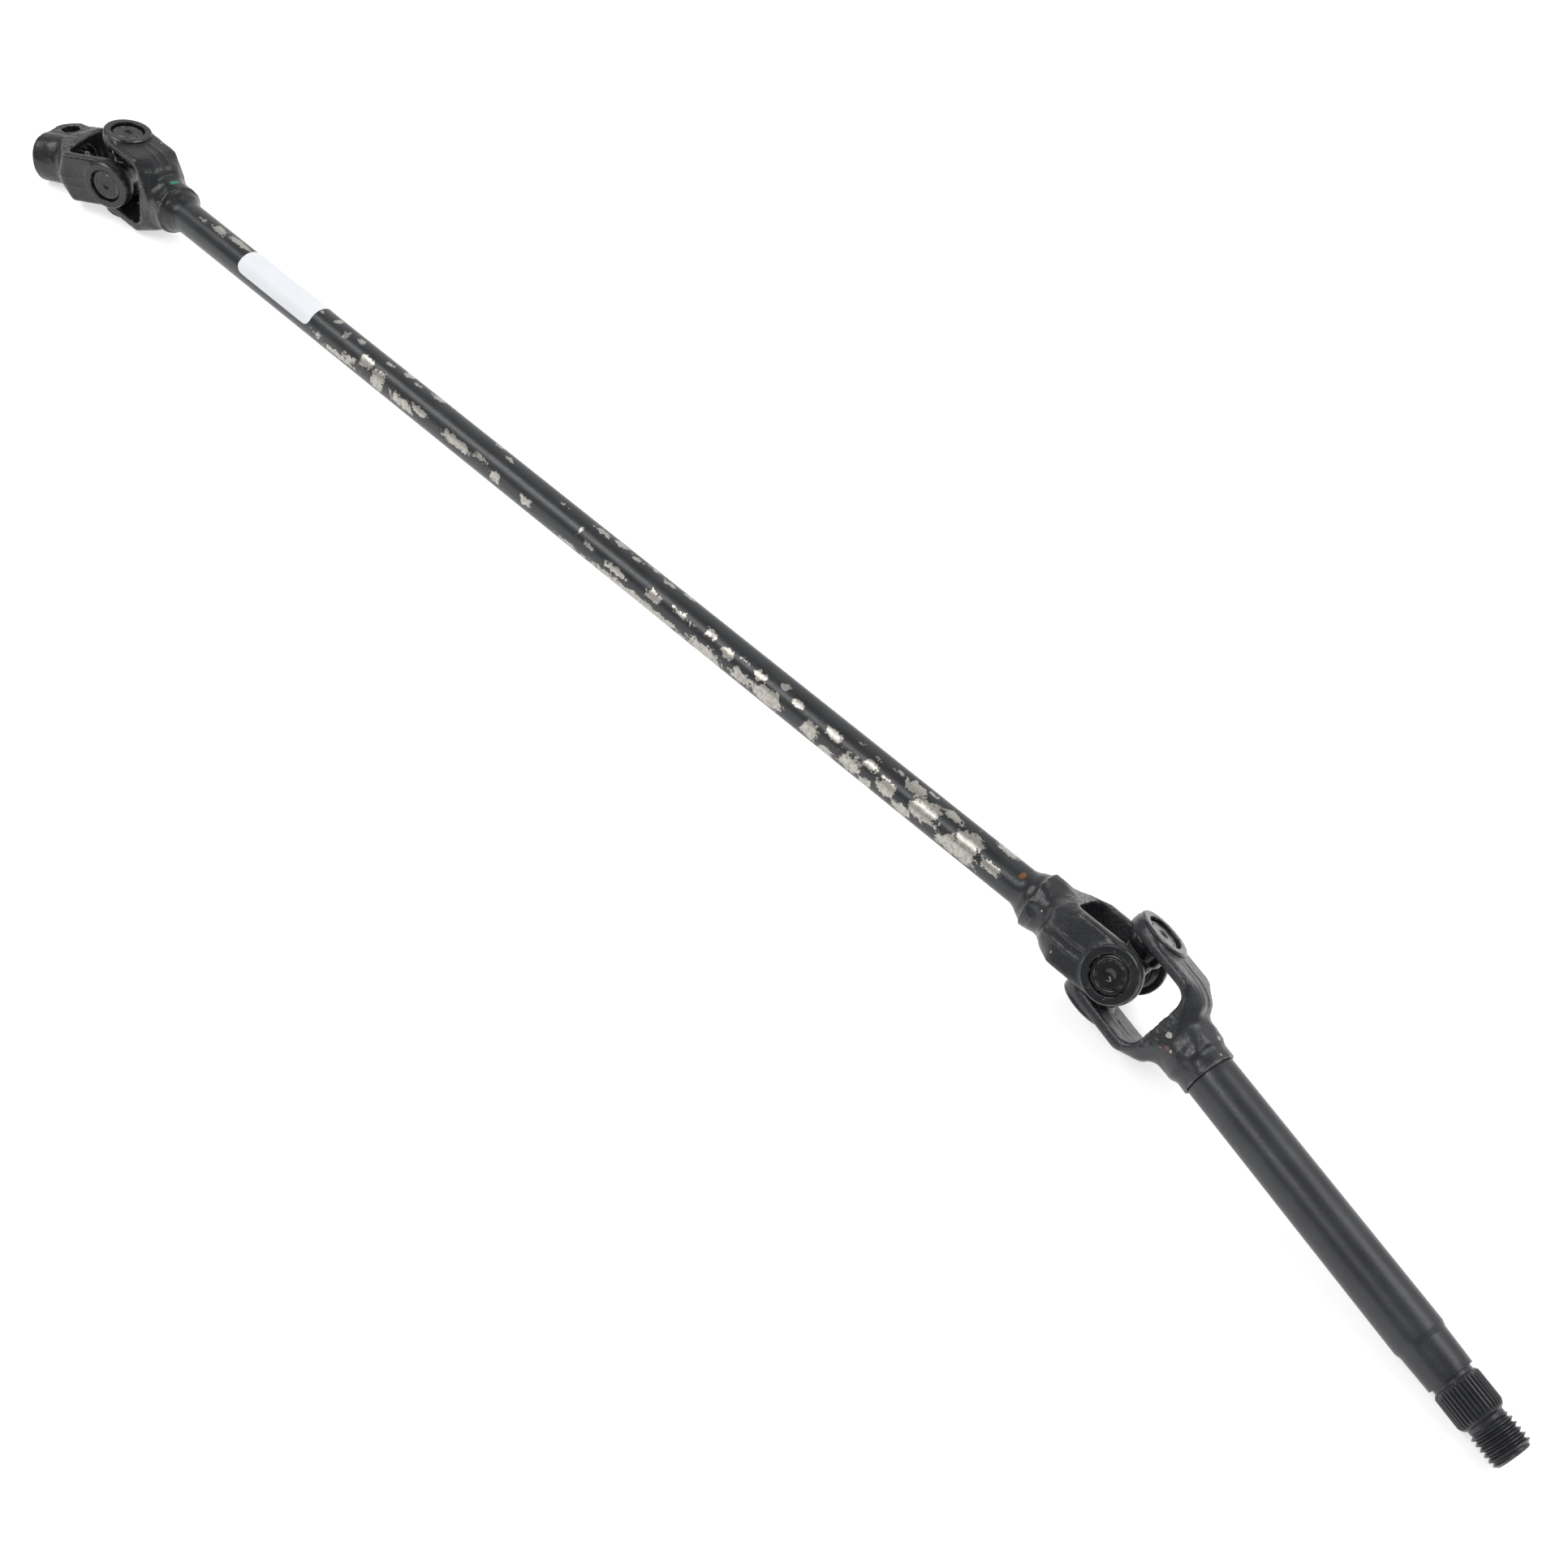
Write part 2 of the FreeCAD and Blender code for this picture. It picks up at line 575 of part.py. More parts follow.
def make_cup(label):
    """A drawn bearing cup on the +Z side, closed at its outer end."""
    top = "(Size.ear_face - Size.cup_recess)"
    needle_path = "(Size.trunnion_radius + 2 * Size.needle_radius + 2 * Size.needle_play)"
    outline = [
        ("0", top + " - Size.cup_dimple_depth"),
        ("Size.cup_dimple_step_radius", top + " - Size.cup_dimple_step_depth"),
        ("Size.cup_dimple_radius", top),
        ("Size.cup_ring_radius", top),
        ("Size.cup_ring_radius", top + " - Size.cup_ring_depth"),
        ("Size.cup_radius", top + " - Size.cup_ring_depth"),
        ("Size.cup_radius", top + " - Size.cup_length"),
        (needle_path, top + " - Size.cup_length"),
        (needle_path, top + " - Size.cup_floor"),
        ("0", top + " - Size.cup_floor"),
    ]
    body = make_turned(label, outline)
    document.recompute()
    radius = number("Size.cup_radius")
    brim = number(top + " - Size.cup_ring_depth")

    def on_brim(edge):
        return is_round(edge, radius) and near(middle(edge).z, brim)

    dress(body, "PartDesign::Fillet", "closed_end", body.Tip, on_brim, "Size.cup_rounding")
    return body


def make_needles(label):
    """The full set of needle rollers in one cup, side by side round the journal."""
    body = new_body(label)
    start = "Size.ear_face - Size.cup_recess - Size.cup_floor - Size.needle_length - Size.needle_play"
    sketch = new_sketch(body, "needle_circle", "XY_Plane", lift=start)
    pitch_radius = "Size.trunnion_radius + Size.needle_radius + Size.needle_play"
    draw_circle(sketch, pitch_radius, "0", "Size.needle_radius")
    needle = pad(body, "needle", sketch, "Size.needle_length")
    repeat_round(body, "needle_set", needle, "Z_Axis", "Size.needle_count")
    return body


def make_seal(label):
    """The lip seal between the shoulder of a cross and the mouth of a cup."""
    cup_mouth = "Size.ear_face - Size.cup_recess - Size.cup_length - Size.seal_play"
    inside = "Size.trunnion_radius"
    outline = [
        (inside, "Size.cross_shoulder"),
        ("Size.seal_radius - Size.seal_chamfer", "Size.cross_shoulder"),
        ("Size.seal_radius", "Size.cross_shoulder + Size.seal_chamfer"),
        ("Size.seal_radius", cup_mouth),
        (inside, cup_mouth),
    ]
    return make_turned(label, outline)


def make_label():
    """The blank paper label wrapped part of the way round the long shaft."""
    body = new_body("paper_label")
    sketch = new_sketch(body, "label_section", "XY_Plane", lift="Size.label_start")
    angles = ["(Size.label_lean %s Size.label_wrap / 2) * 1 deg" % sign for sign in "-+"]
    first, last = (math.radians(number(angle)) for angle in angles)
    circle_radii = ["Size.shaft_radius", "Size.shaft_radius + Size.label_thickness"]
    inner, outer = (number(radius) for radius in circle_radii)
    for index, radius in enumerate(circle_radii):
        circle = Part.Circle(Vector(), Vector(0, 0, 1), number(radius))
        sketch.addGeometry(Part.ArcOfCircle(circle, first, last))
        sketch.addConstraint(Sketcher.Constraint("Coincident", index, 3, -1, 1))
        dimension = Sketcher.Constraint("Radius", index, number(radius))
        sketch.setExpression("Constraints[%d]" % sketch.addConstraint(dimension), radius)
    for end, turned in ((1, first), (2, last)):
        along = Vector(math.cos(turned), math.sin(turned), 0)
        edge = sketch.addGeometry(Part.LineSegment(along * inner, along * outer))
        sketch.addConstraint(Sketcher.Constraint("Coincident", edge, 1, 0, end))
        sketch.addConstraint(Sketcher.Constraint("Coincident", edge, 2, 1, end))
        sketch.addConstraint(Sketcher.Constraint("PointOnObject", -1, 1, edge))
        dimension = Sketcher.Constraint("Angle", edge, turned)
        index = sketch.addConstraint(dimension)
        sketch.setExpression("Constraints[%d]" % index, angles[end - 1])
    pad(body, "label_sheet", sketch, "Size.label_length")
    return body


def frame_at(origin, along, across):
    """A placement whose Z runs along and whose X runs across."""
    return Placement(origin, Rotation(across, along.cross(across), along, "ZXY"))


def drop_for(height, reach, radius):
    """How far below level a rod of this radius points when its tip touches the surface."""
    drop = math.asin(height / reach)
    for _ in range(ROUNDS):
        drop = math.asin((height - radius * math.cos(drop)) / reach)
    return drop


def direction(swing, drop, forward):
    level = math.cos(drop)
    return Vector(forward * level * math.cos(swing), -level * math.sin(swing), -math.sin(drop))


def ear_reach(ear):
    """How far below its joint centre an ear reaches when its bore axis points along ear."""
    tilt = abs(ear.z)
    rim = number("Size.boss_radius")
    return number("Size.ear_face") * tilt + rim * math.sqrt(1 - tilt * tilt)


def resting_pose():
    """Where each joint and axis lies: upper ear, lower ear, both free ends on the surface."""
    lift = number("Size.floor_clearance")
    upper_height = number("Size.ear_face")
    spacing = number("Size.joint_spacing")
    turned = math.radians(number("Size.yoke_turn"))
    swing = math.radians(number("Size.column_swing"))
    lower_height = upper_height
    for _ in range(ROUNDS):
        slope = math.asin((lower_height - upper_height) / spacing)
        shaft = Vector(math.cos(slope), 0, math.sin(slope))
        upper_ear = Vector(-math.sin(slope), 0, math.cos(slope))
        side = shaft.cross(upper_ear)
        lower_ear = upper_ear * math.cos(turned) + side * math.sin(turned)
        drop = drop_for(lower_height - lift, number("Size.thread_end"), number("Size.thread_radius"))
        column = direction(swing, drop, 1)
        column_ear = column.cross(lower_ear).normalize()
        lower_height = max(ear_reach(column_ear), ear_reach(lower_ear)) + lift
    hub_flank = number("Size.clamp_hub_end - Size.clamp_hub_rounding")
    drop = drop_for(upper_height - lift, hub_flank, number("Size.clamp_hub_radius"))
    clamp = direction(math.radians(number("Size.clamp_swing")), drop, -1)
    clamp_ear = upper_ear.cross(clamp).normalize()
    upper = Vector(0, 0, upper_height)
    lower = upper + shaft * spacing
    return {
        "upper": upper,
        "lower": lower,
        "shaft": shaft,
        "column": column,
        "clamp": clamp,
        "upper_ear": upper_ear,
        "lower_ear": lower_ear,
        "column_ear": column_ear,
        "clamp_ear": clamp_ear,
    }


def place_bearing(yoke_name, side, frame):
    """Makes the cup, the needles and the seal of one journal of a cross."""
    for kind, make in (("cup", make_cup), ("needles", make_needles), ("seal", make_seal)):
        piece = make("%s_%s_%s" % (yoke_name, kind, side))
        piece.Placement = frame


def make_joint(cross_name, joint, carriers):
    """Makes a cross and its four bearings; carriers gives each yoke's name and ear direction."""
    ears = [ear for yoke_name, ear in carriers]
    upright = ears[0].cross(ears[1])
    cross = make_cross(cross_name)
    cross.Placement = frame_at(joint, upright, ears[0])
    for yoke_name, ear in carriers:
        place_bearing(yoke_name, "a", frame_at(joint, ear, upright))
        place_bearing(yoke_name, "b", frame_at(joint, -ear, upright))


def build():
    pose = resting_pose()
    upper, lower = pose["upper"], pose["lower"]
    upper_yoke = make_shaft_yoke("upper_shaft_yoke", "Size.shaft_radius", tapered_tail())
    upper_yoke.Placement = frame_at(upper, pose["shaft"], pose["upper_ear"])
    lower_yoke = make_shaft_yoke("lower_shaft_yoke", "Size.shaft_radius", tapered_tail())
    lower_yoke.Placement = frame_at(lower, -pose["shaft"], pose["lower_ear"])
    column_yoke = make_shaft_yoke("column_yoke", "Size.column_seat_radius", straight_tail())
    column_yoke.Placement = frame_at(lower, pose["column"], pose["column_ear"])
    clamp_yoke = make_clamp_yoke()
    clamp_yoke.Placement = frame_at(upper, pose["clamp"], pose["clamp_ear"])
    main_shaft = make_main_shaft()
    main_shaft.Placement = frame_at(upper, pose["shaft"], pose["upper_ear"])
    column_shaft = make_column_shaft()
    column_shaft.Placement = frame_at(lower, pose["column"], pose["column_ear"])
    label = make_label()
    label.Placement = frame_at(upper, pose["shaft"], pose["upper_ear"])
    upper_ears = [("upper_shaft_yoke", pose["upper_ear"]), ("clamp_yoke", pose["clamp_ear"])]
    lower_ears = [("lower_shaft_yoke", pose["lower_ear"]), ("column_yoke", pose["column_ear"])]
    make_joint("upper_cross", upper, upper_ears)
    make_joint("lower_cross", lower, lower_ears)
    document.recompute()
    return pose


def check_document():
    for item in document.Objects:
        if "Invalid" in item.State or "Error" in item.State:
            raise ValueError("%s did not compute" % item.Label)


def sub_parts():
    return [item for item in document.Objects if item.TypeId == "PartDesign::Body"]


def centre_over_origin(pieces):
    """Moves all pieces so that the origin lies below the middle of the whole."""
    whole = FreeCAD.BoundBox()
    for piece in pieces:
        whole.add(piece.Shape.optimalBoundingBox(False, False))
    shift = Vector(-whole.Center.x, -whole.Center.y, 0)
    for piece in pieces:
        place = piece.Placement
        piece.Placement = Placement(place.Base + shift, place.Rotation)
    document.recompute()
    return shift


def write_parts(pieces):
    os.makedirs("parts", exist_ok=True)
    for piece in pieces:
        if piece.Shape.isNull() or not piece.Shape.isValid():
            raise ValueError("%s has no sound shape" % piece.Label)
        piece.Shape.exportStep("parts/%s.step" % piece.Label)


pose = build()
check_document()
pieces = sub_parts()
shift = centre_over_origin(pieces)
check_document()
write_parts(pieces)
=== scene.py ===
import json
import math

import bmesh
import bpy
import numpy as np
from bpy.props import FloatProperty, FloatVectorProperty, IntProperty, PointerProperty
from mathutils import Matrix, Vector, noise


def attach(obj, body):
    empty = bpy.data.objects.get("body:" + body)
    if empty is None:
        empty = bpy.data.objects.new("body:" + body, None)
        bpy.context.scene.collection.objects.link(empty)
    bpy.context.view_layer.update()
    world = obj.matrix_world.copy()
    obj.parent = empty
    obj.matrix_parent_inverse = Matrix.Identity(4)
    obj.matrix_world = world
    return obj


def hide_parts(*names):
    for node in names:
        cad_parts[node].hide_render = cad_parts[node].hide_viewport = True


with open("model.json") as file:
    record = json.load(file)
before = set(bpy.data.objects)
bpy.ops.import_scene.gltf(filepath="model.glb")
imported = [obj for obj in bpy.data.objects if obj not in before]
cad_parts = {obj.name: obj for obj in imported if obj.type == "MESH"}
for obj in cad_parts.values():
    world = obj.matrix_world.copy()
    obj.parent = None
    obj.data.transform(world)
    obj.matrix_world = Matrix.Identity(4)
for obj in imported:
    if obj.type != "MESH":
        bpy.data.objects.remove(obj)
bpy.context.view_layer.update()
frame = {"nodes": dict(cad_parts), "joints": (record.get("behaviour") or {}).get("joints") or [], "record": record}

bl_info = {
    "name": "Steering shaft",
    "version": (1, 0, 0),
    "blender": (4, 5, 0),
    "location": "View3D > Sidebar > Steering shaft",
    "description": "Dresses a double-jointed steering shaft with worn paint, yokes and a label",
    "category": "Object",
}

MM = 0.001


# Where the yokes and shafts lie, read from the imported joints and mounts.

class Axes:
    """A joint centre, the direction along a hub and the direction through its ears."""

    def __init__(self, centre, along, ear):
        along = along.normalized()
        ear = (ear - along * ear.dot(along)).normalized()
        side = along.cross(ear)
        turned = Matrix((ear, side, along)).transposed().to_4x4()
        self.matrix = Matrix.Translation(centre) @ turned @ Matrix.Scale(MM, 4)


def joint(name):
    """A packed joint."""
    return next(item for item in frame["joints"] if item["name"] == name)


def joint_centre(name):
    """Where a packed joint turns."""
    return Vector(joint(name)["pos_m"])


def joint_axis(name):
    """The direction that a packed joint turns about."""
    return Vector(joint(name)["axis"])


def mount_axis(name):
    """The direction of a packed mount."""
    return Vector(next(item for item in frame["record"]["mounts"] if item["name"] == name)["axis"])


UPPER = joint_centre("upper_cross_in_shaft_yoke")
LOWER = joint_centre("lower_cross_in_shaft_yoke")
SHAFT = (LOWER - UPPER).normalized()
AXES = {
    "upper_shaft_yoke": Axes(UPPER, SHAFT, joint_axis("upper_cross_in_shaft_yoke")),
    "clamp_yoke": Axes(UPPER, mount_axis("clamp_bore"), joint_axis("clamp_yoke_on_upper_cross")),
    "lower_shaft_yoke": Axes(LOWER, -SHAFT, joint_axis("lower_cross_in_shaft_yoke")),
    "column_yoke": Axes(
        LOWER, mount_axis("column_journal"), joint_axis("column_yoke_on_lower_cross")
    ),
}
BODIES = {
    "upper_shaft_yoke": "long_shaft",
    "lower_shaft_yoke": "long_shaft",
    "clamp_yoke": "clamp_end",
    "column_yoke": "column_end",
}
CROSS_BODIES = {
    "upper_shaft_yoke": "upper_cross_body",
    "clamp_yoke": "upper_cross_body",
    "lower_shaft_yoke": "lower_cross_body",
    "column_yoke": "lower_cross_body",
}


# Sizes and colours that a user may change.

class ForgingSettings(bpy.types.PropertyGroup):
    """The skin of the forged yokes."""

    voxel: FloatProperty(
        name="Voxel",
        description="Side of the small cubes that a forging is rebuilt from, in millimetres",
        default=0.48,
        min=0.2,
    )
    smoothing: IntProperty(
        name="Smoothing",
        description="Rounds of smoothing that blend the shoulders and the hub",
        default=16,
        min=0,
    )
    shoulder_rounds: IntProperty(
        name="Shoulder rounds",
        description="Rounds of further smoothing on the shoulders behind the fork",
        default=45,
        min=0,
    )
    lump: FloatProperty(
        name="Lumps",
        description="Height of the broad lumps on the hubs, in millimetres",
        default=0.34,
    )
    pebble: FloatProperty(
        name="Pebbles",
        description="Height of the fine scale on the forged skin, in millimetres",
        default=0.07,
    )
    ring_steps: IntProperty(
        name="Ring steps",
        description="Steps round the machined ring of each ear",
        default=128,
        min=24,
    )


class BearingSettings(bpy.types.PropertyGroup):
    """The bearing cups, their seals and the ears round them."""

    ear_face: FloatProperty(
        name="Ear face",
        description="Joint centre to the machined face of an ear, in millimetres",
        default=21.4,
    )
    boss_radius: FloatProperty(
        name="Boss radius",
        description="Radius of the machined boss of an ear, in millimetres",
        default=11.5,
    )
    cup_radius: FloatProperty(
        name="Cup radius",
        description="Outside radius of a bearing cup, in millimetres",
        default=8.0,
    )
    cup_recess: FloatProperty(
        name="Cup recess",
        description="Depth of a cup below the face of its ear, in millimetres",
        default=1.2,
    )
    cup_length: FloatProperty(
        name="Cup length",
        description="Length of a bearing cup, in millimetres",
        default=10.3,
    )


class BarSettings(bpy.types.PropertyGroup):
    """The long shaft, the label on it and the column shaft."""

    shaft_radius: FloatProperty(
        name="Long shaft radius",
        description="Radius of the long shaft, in millimetres",
        default=8.0,
    )
    joint_spacing: FloatProperty(
        name="Joint spacing",
        description="Distance between the two joint centres, in millimetres",
        default=638.0,
    )
    seat: FloatProperty(
        name="Seat",
        description="Joint centre to the hidden end of a shaft inside its yoke, in millimetres",
        default=31.0,
    )
    label_start: FloatProperty(
        name="Label start",
        description="Upper joint centre to the near end of the label, in millimetres",
        default=100.0,
    )
    label_end: FloatProperty(
        name="Label end",
        description="Upper joint centre to the far end of the label, in millimetres",
        default=154.8,
    )
    label_corner: FloatProperty(
        name="Label corner",
        description="Radius of the label's rounded corners, in millimetres",
        default=4.0,
    )
    spline_teeth: IntProperty(
        name="Spline teeth",
        description="Teeth round the spline of the column shaft",
        default=36,
        min=6,
    )
    thread_pitch: FloatProperty(
        name="Thread pitch",
        description="Distance between two turns of the thread, in millimetres",
        default=2.0,
    )


class FinishSettings(bpy.types.PropertyGroup):
    """Colours of the finishes."""

    forging: FloatVectorProperty(
        name="Forging paint",
        description="Black paint on the yokes",
        default=(0.0125, 0.0135, 0.0152),
        subtype="COLOR",
    )
    shaft: FloatVectorProperty(
        name="Shaft paint",
        description="Black paint on the long shaft",
        default=(0.024, 0.0262, 0.0285),
        subtype="COLOR",
    )
    column: FloatVectorProperty(
        name="Column paint",
        description="Dark grey paint on the column shaft",
        default=(0.027, 0.0285, 0.033),
        subtype="COLOR",
    )
    bare: FloatVectorProperty(
        name="Bare steel",
        description="Steel where the paint has chipped off",
        default=(0.44, 0.42, 0.385),
        subtype="COLOR",
    )
    rust: FloatVectorProperty(
        name="Rust",
        description="Rust beside the chips",
        default=(0.22, 0.085, 0.03),
        subtype="COLOR",
    )
    paint_mark: FloatVectorProperty(
        name="Paint mark",
        description="Small green inspection mark on the upper hub",
        default=(0.02, 0.24, 0.12),
        subtype="COLOR",
    )
    label: FloatVectorProperty(
        name="Label",
        description="Blank white label",
        default=(0.91, 0.93, 0.97),
        subtype="COLOR",
    )


class StageSettings(bpy.types.PropertyGroup):
    """Camera, lamps and floor."""

    camera_place: FloatVectorProperty(
        name="Camera",
        description="Where the camera stands",
        default=(0.34103, -0.46137, 0.50331),
        subtype="TRANSLATION",
    )
    lens: FloatProperty(
        name="Lens",
        description="Focal length of the camera, in millimetres",
        default=40.519,
    )
    top_lamp: FloatProperty(
        name="Top lamp",
        description="Power of the lamp above the column shaft",
        default=15.0,
        unit="POWER",
    )
    front_lamp: FloatProperty(
        name="Front lamp",
        description="Power of the soft box above the camera, whose light runs down the shafts",
        default=16.0,
        unit="POWER",
    )
    floor_side: FloatProperty(
        name="Floor side",
        description="Length of a side of the floor",
        default=8.0,
        unit="LENGTH",
    )


class SteeringShaftSettings(bpy.types.PropertyGroup):
    """All settings of the steering shaft."""

    forging: PointerProperty(type=ForgingSettings)
    bearing: PointerProperty(type=BearingSettings)
    bars: PointerProperty(type=BarSettings)
    finish: PointerProperty(type=FinishSettings)
    stage: PointerProperty(type=StageSettings)


# Mesh helpers.

def link_mesh(name, mesh):
    """Puts a mesh into the scene as an object."""
    made = bpy.data.objects.new(name, mesh)
    bpy.context.scene.collection.objects.link(made)
    return made


def mesh_from(name, points, faces):
    """A mesh of these points and faces."""
    mesh = bpy.data.meshes.new(name)
    mesh.from_pydata([tuple(point) for point in points], [], faces)
    mesh.update()
    return mesh


def tidy_normals(mesh):
    """Merges doubles and turns every face outwards."""
    shape = bmesh.new()
    shape.from_mesh(mesh)
    bmesh.ops.remove_doubles(shape, verts=shape.verts, dist=1e-5)
    bmesh.ops.recalc_face_normals(shape, faces=shape.faces)
    shape.to_mesh(mesh)
    shape.free()


def revolve(profile, steps, closed=False):
    """Points and faces of a profile of (radius, height) pairs turned round Z."""
    points = []
    rings = []
    for radius, height in profile:
        if radius < 1e-6:
            rings.append([len(points)] * steps)
            points.append((0.0, 0.0, height))
            continue
        rings.append([len(points) + index for index in range(steps)])
        for index in range(steps):
            turn = math.tau * index / steps
            points.append((radius * math.cos(turn), radius * math.sin(turn), height))
    faces = []
    pairs = list(zip(rings, rings[1:]))
    if closed:
        pairs.append((rings[-1], rings[0]))
    for lower, upper in pairs:
        for index in range(steps):
            following = (index + 1) % steps
            corners = [lower[index], lower[following], upper[following], upper[index]]
            unique = list(dict.fromkeys(corners))
            if len(unique) > 2:
                faces.append(unique)
    return points, faces


def divide(profile, longest):
    """Adds points to a profile so that no step is longer than this."""
    finer = [profile[0]]
    for (r0, z0), (r1, z1) in zip(profile, profile[1:]):
        parts = max(1, math.ceil(math.hypot(r1 - r0, z1 - z0) / longest))
        for part in range(1, parts + 1):
            share = part / parts
            finer.append((r0 + (r1 - r0) * share, z0 + (z1 - z0) * share))
    return finer


def round_corners(profile, radius, parts=4):
    """Rounds the inner corners of a profile with small arcs of about this radius."""
    rounded = [profile[0]]
    for before, corner, after in zip(profile, profile[1:], profile[2:]):
        corner, before, after = Vector(corner), Vector(before), Vector(after)
        back = before - corner
        ahead = after - corner
        reach = min(radius, back.length / 2.2, ahead.length / 2.2)
        start = corner + back.normalized() * reach
        end = corner + ahead.normalized() * reach
        for part in range(parts + 1):
            share = part / parts
            spot = start * (1 - share) ** 2 + corner * 2 * share * (1 - share) + end * share ** 2
            rounded.append((spot.x, spot.y))
    rounded.append(profile[-1])
    return rounded


def read_rows(mesh, field):
    """A row of three numbers for each vertex: its place or its direction."""
    values = np.empty(len(mesh.vertices) * 3)
    mesh.vertices.foreach_get(field, values)
    return values.reshape(-1, 3)


def coordinates(mesh):
    """The place of each vertex."""
    return read_rows(mesh, "co")


def normals(mesh):
    """The direction that the skin faces at each vertex."""
    return read_rows(mesh, "normal")


def from_hub(points):
    """How far each point is from Z, the axis of a hub or shaft."""
    return np.hypot(points[:, 0], points[:, 1])


def from_ears(points):
    """How far each point is from X, the axis through the ears."""
    return np.hypot(points[:, 1], points[:, 2])


def set_coordinates(mesh, points):
    """Moves the vertices to these places."""
    mesh.vertices.foreach_set("co", points.astype(np.float32).ravel())
    mesh.update()


def set_attribute(mesh, name, values):
    """Writes a field of one number for each vertex."""
    attribute = mesh.attributes.get(name) or mesh.attributes.new(name, "FLOAT", "POINT")
    attribute.data.foreach_set("value", np.asarray(values, dtype=np.float32))


def neighbour_mean(mesh):
    """Returns a function that averages any per-vertex rows over each vertex's neighbours."""
    pairs = np.empty(len(mesh.edges) * 2, dtype=np.int64)
    mesh.edges.foreach_get("vertices", pairs)
    first, second = pairs.reshape(-1, 2).T
    count = len(mesh.vertices)
    valence = np.bincount(first, minlength=count) + np.bincount(second, minlength=count)
    valence = np.maximum(valence, 1)

    def mean(rows):
        columns = []
        for column in rows.T:
            total = np.bincount(first, weights=column[second], minlength=count)
            total += np.bincount(second, weights=column[first], minlength=count)
            columns.append(total / valence)
        return np.stack(columns, axis=1)

    return mean


def ripple(points, wavelength, seed):
    """Smooth noise between -1 and 1 at each point, with features about a wavelength across."""
    shift = Vector((seed * 13.7, seed * 5.3, seed * 9.1))
    return np.array([noise.noise(Vector(point) / wavelength + shift) for point in points])


def finished(mesh, name, body, slot, replaced, matrix, sharp_degrees):
    """Sets a mesh in its place, finishes it, hangs it on its body and hides the solids it replaces."""
    mesh.transform(matrix)
    mesh.update()
    mesh.shade_smooth()
    mesh.set_sharp_from_angle(angle=math.radians(sharp_degrees))
    mesh.materials.clear()
    mesh.materials.append(finish_named(slot))
    made = link_mesh(name, mesh)
    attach(made, body)
    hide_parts(*replaced)


# Forged yokes.

def rebuild(node, matrix, voxel):
    """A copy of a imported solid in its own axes, in millimetres, rebuilt from small cubes."""
    mesh = frame["nodes"][node].data.copy()
    mesh.transform(matrix.inverted())
    shape = bmesh.new()
    shape.from_mesh(mesh)
    bmesh.ops.remove_doubles(shape, verts=shape.verts, dist=0.002)
    shape.to_mesh(mesh)
    shape.free()
    rough = link_mesh(node + "_rough", mesh)
    remesh = rough.modifiers.new("Rebuild", "REMESH")
    remesh.mode = "VOXEL"
    remesh.voxel_size = voxel
    seen = rough.evaluated_get(bpy.context.evaluated_depsgraph_get())
    result = bpy.data.meshes.new_from_object(seen)
    bpy.data.objects.remove(rough)
    bpy.data.meshes.remove(mesh)
    return result


def relax(mesh, amount, kept, rounds):
    """Smooths the skin by each vertex's own amount, then swells it back by the kept share."""
    mean = neighbour_mean(mesh)
    points = coordinates(mesh)
    for _ in range(rounds):
        points = points + (mean(points) - points) * (0.6 * amount[:, None])
        points = points - (mean(points) - points) * (0.61 * (amount * kept)[:, None])
    set_coordinates(mesh, points)
    return points


def edge_wear_and_highlight(mesh, points, reach=4):
    """How sharply the skin turns outwards at each vertex, from 0 to 1."""
    mean = neighbour_mean(mesh)
    facing = normals(mesh)
    spread = points
    for _ in range(reach):
        spread = mean(spread)
    bend = np.einsum("ij,ij->i", points - spread, facing)
    bend = mean(bend[:, None])[:, 0]
    return np.clip(bend / 0.16, 0.0, 1.0)


def dent(points, spot, radius, depth):
    """A soft dent (or, with a negative depth, a swelling) round a spot."""
    away = np.linalg.norm(points - np.array(spot), axis=1)
    return -depth * np.exp(-((away / radius) ** 2))


def patches(points, marks):
    """A field for marks in the paint, from 1 at each spot to 0 at its radius away."""
    field = np.zeros(len(points))
    for spot, radius in marks:
        away = np.linalg.norm(points - np.array(spot), axis=1)
        field = np.maximum(field, 1.0 - away / radius)
    return field


def on_hub(radius, degrees, along):
    """A place on a hub, by its angle from the ears and its distance from the joint."""
    turn = math.radians(degrees)
    return (radius * math.cos(turn), radius * math.sin(turn), along)


BOLT_SIDE = -10.6
BOLT_ALONG = 37.5


def bolt_distance(points):
    """How far each point is from the axis of the clamp's pinch bolt hole."""
    return np.hypot(points[:, 0] - BOLT_SIDE, points[:, 2] - BOLT_ALONG)


def flash_ridges(points):
    """Two low ridges down the outer face of each arm, where the forging flash was trimmed."""
    wander = 0.5 * np.sin(points[:, 2] / 4.0)
    start = np.clip((points[:, 2] - 11.5) / 2.0, 0.0, 1.0)
    end = np.clip((33.0 - points[:, 2]) / 3.0, 0.0, 1.0)
    outer = np.clip((np.abs(points[:, 0]) - 13.5) / 1.5, 0.0, 1.0)
    near_one = np.exp(-(((points[:, 1] - 1.0 - wander) / 0.5) ** 2))
    far_one = np.exp(-(((points[:, 1] + 3.6 - 0.6 * wander) / 0.5) ** 2))
    between = np.exp(-(((points[:, 1] + 1.3) / 1.7) ** 4))
    return (0.24 * near_one + 0.2 * far_one - 0.1 * between) * start * end * outer


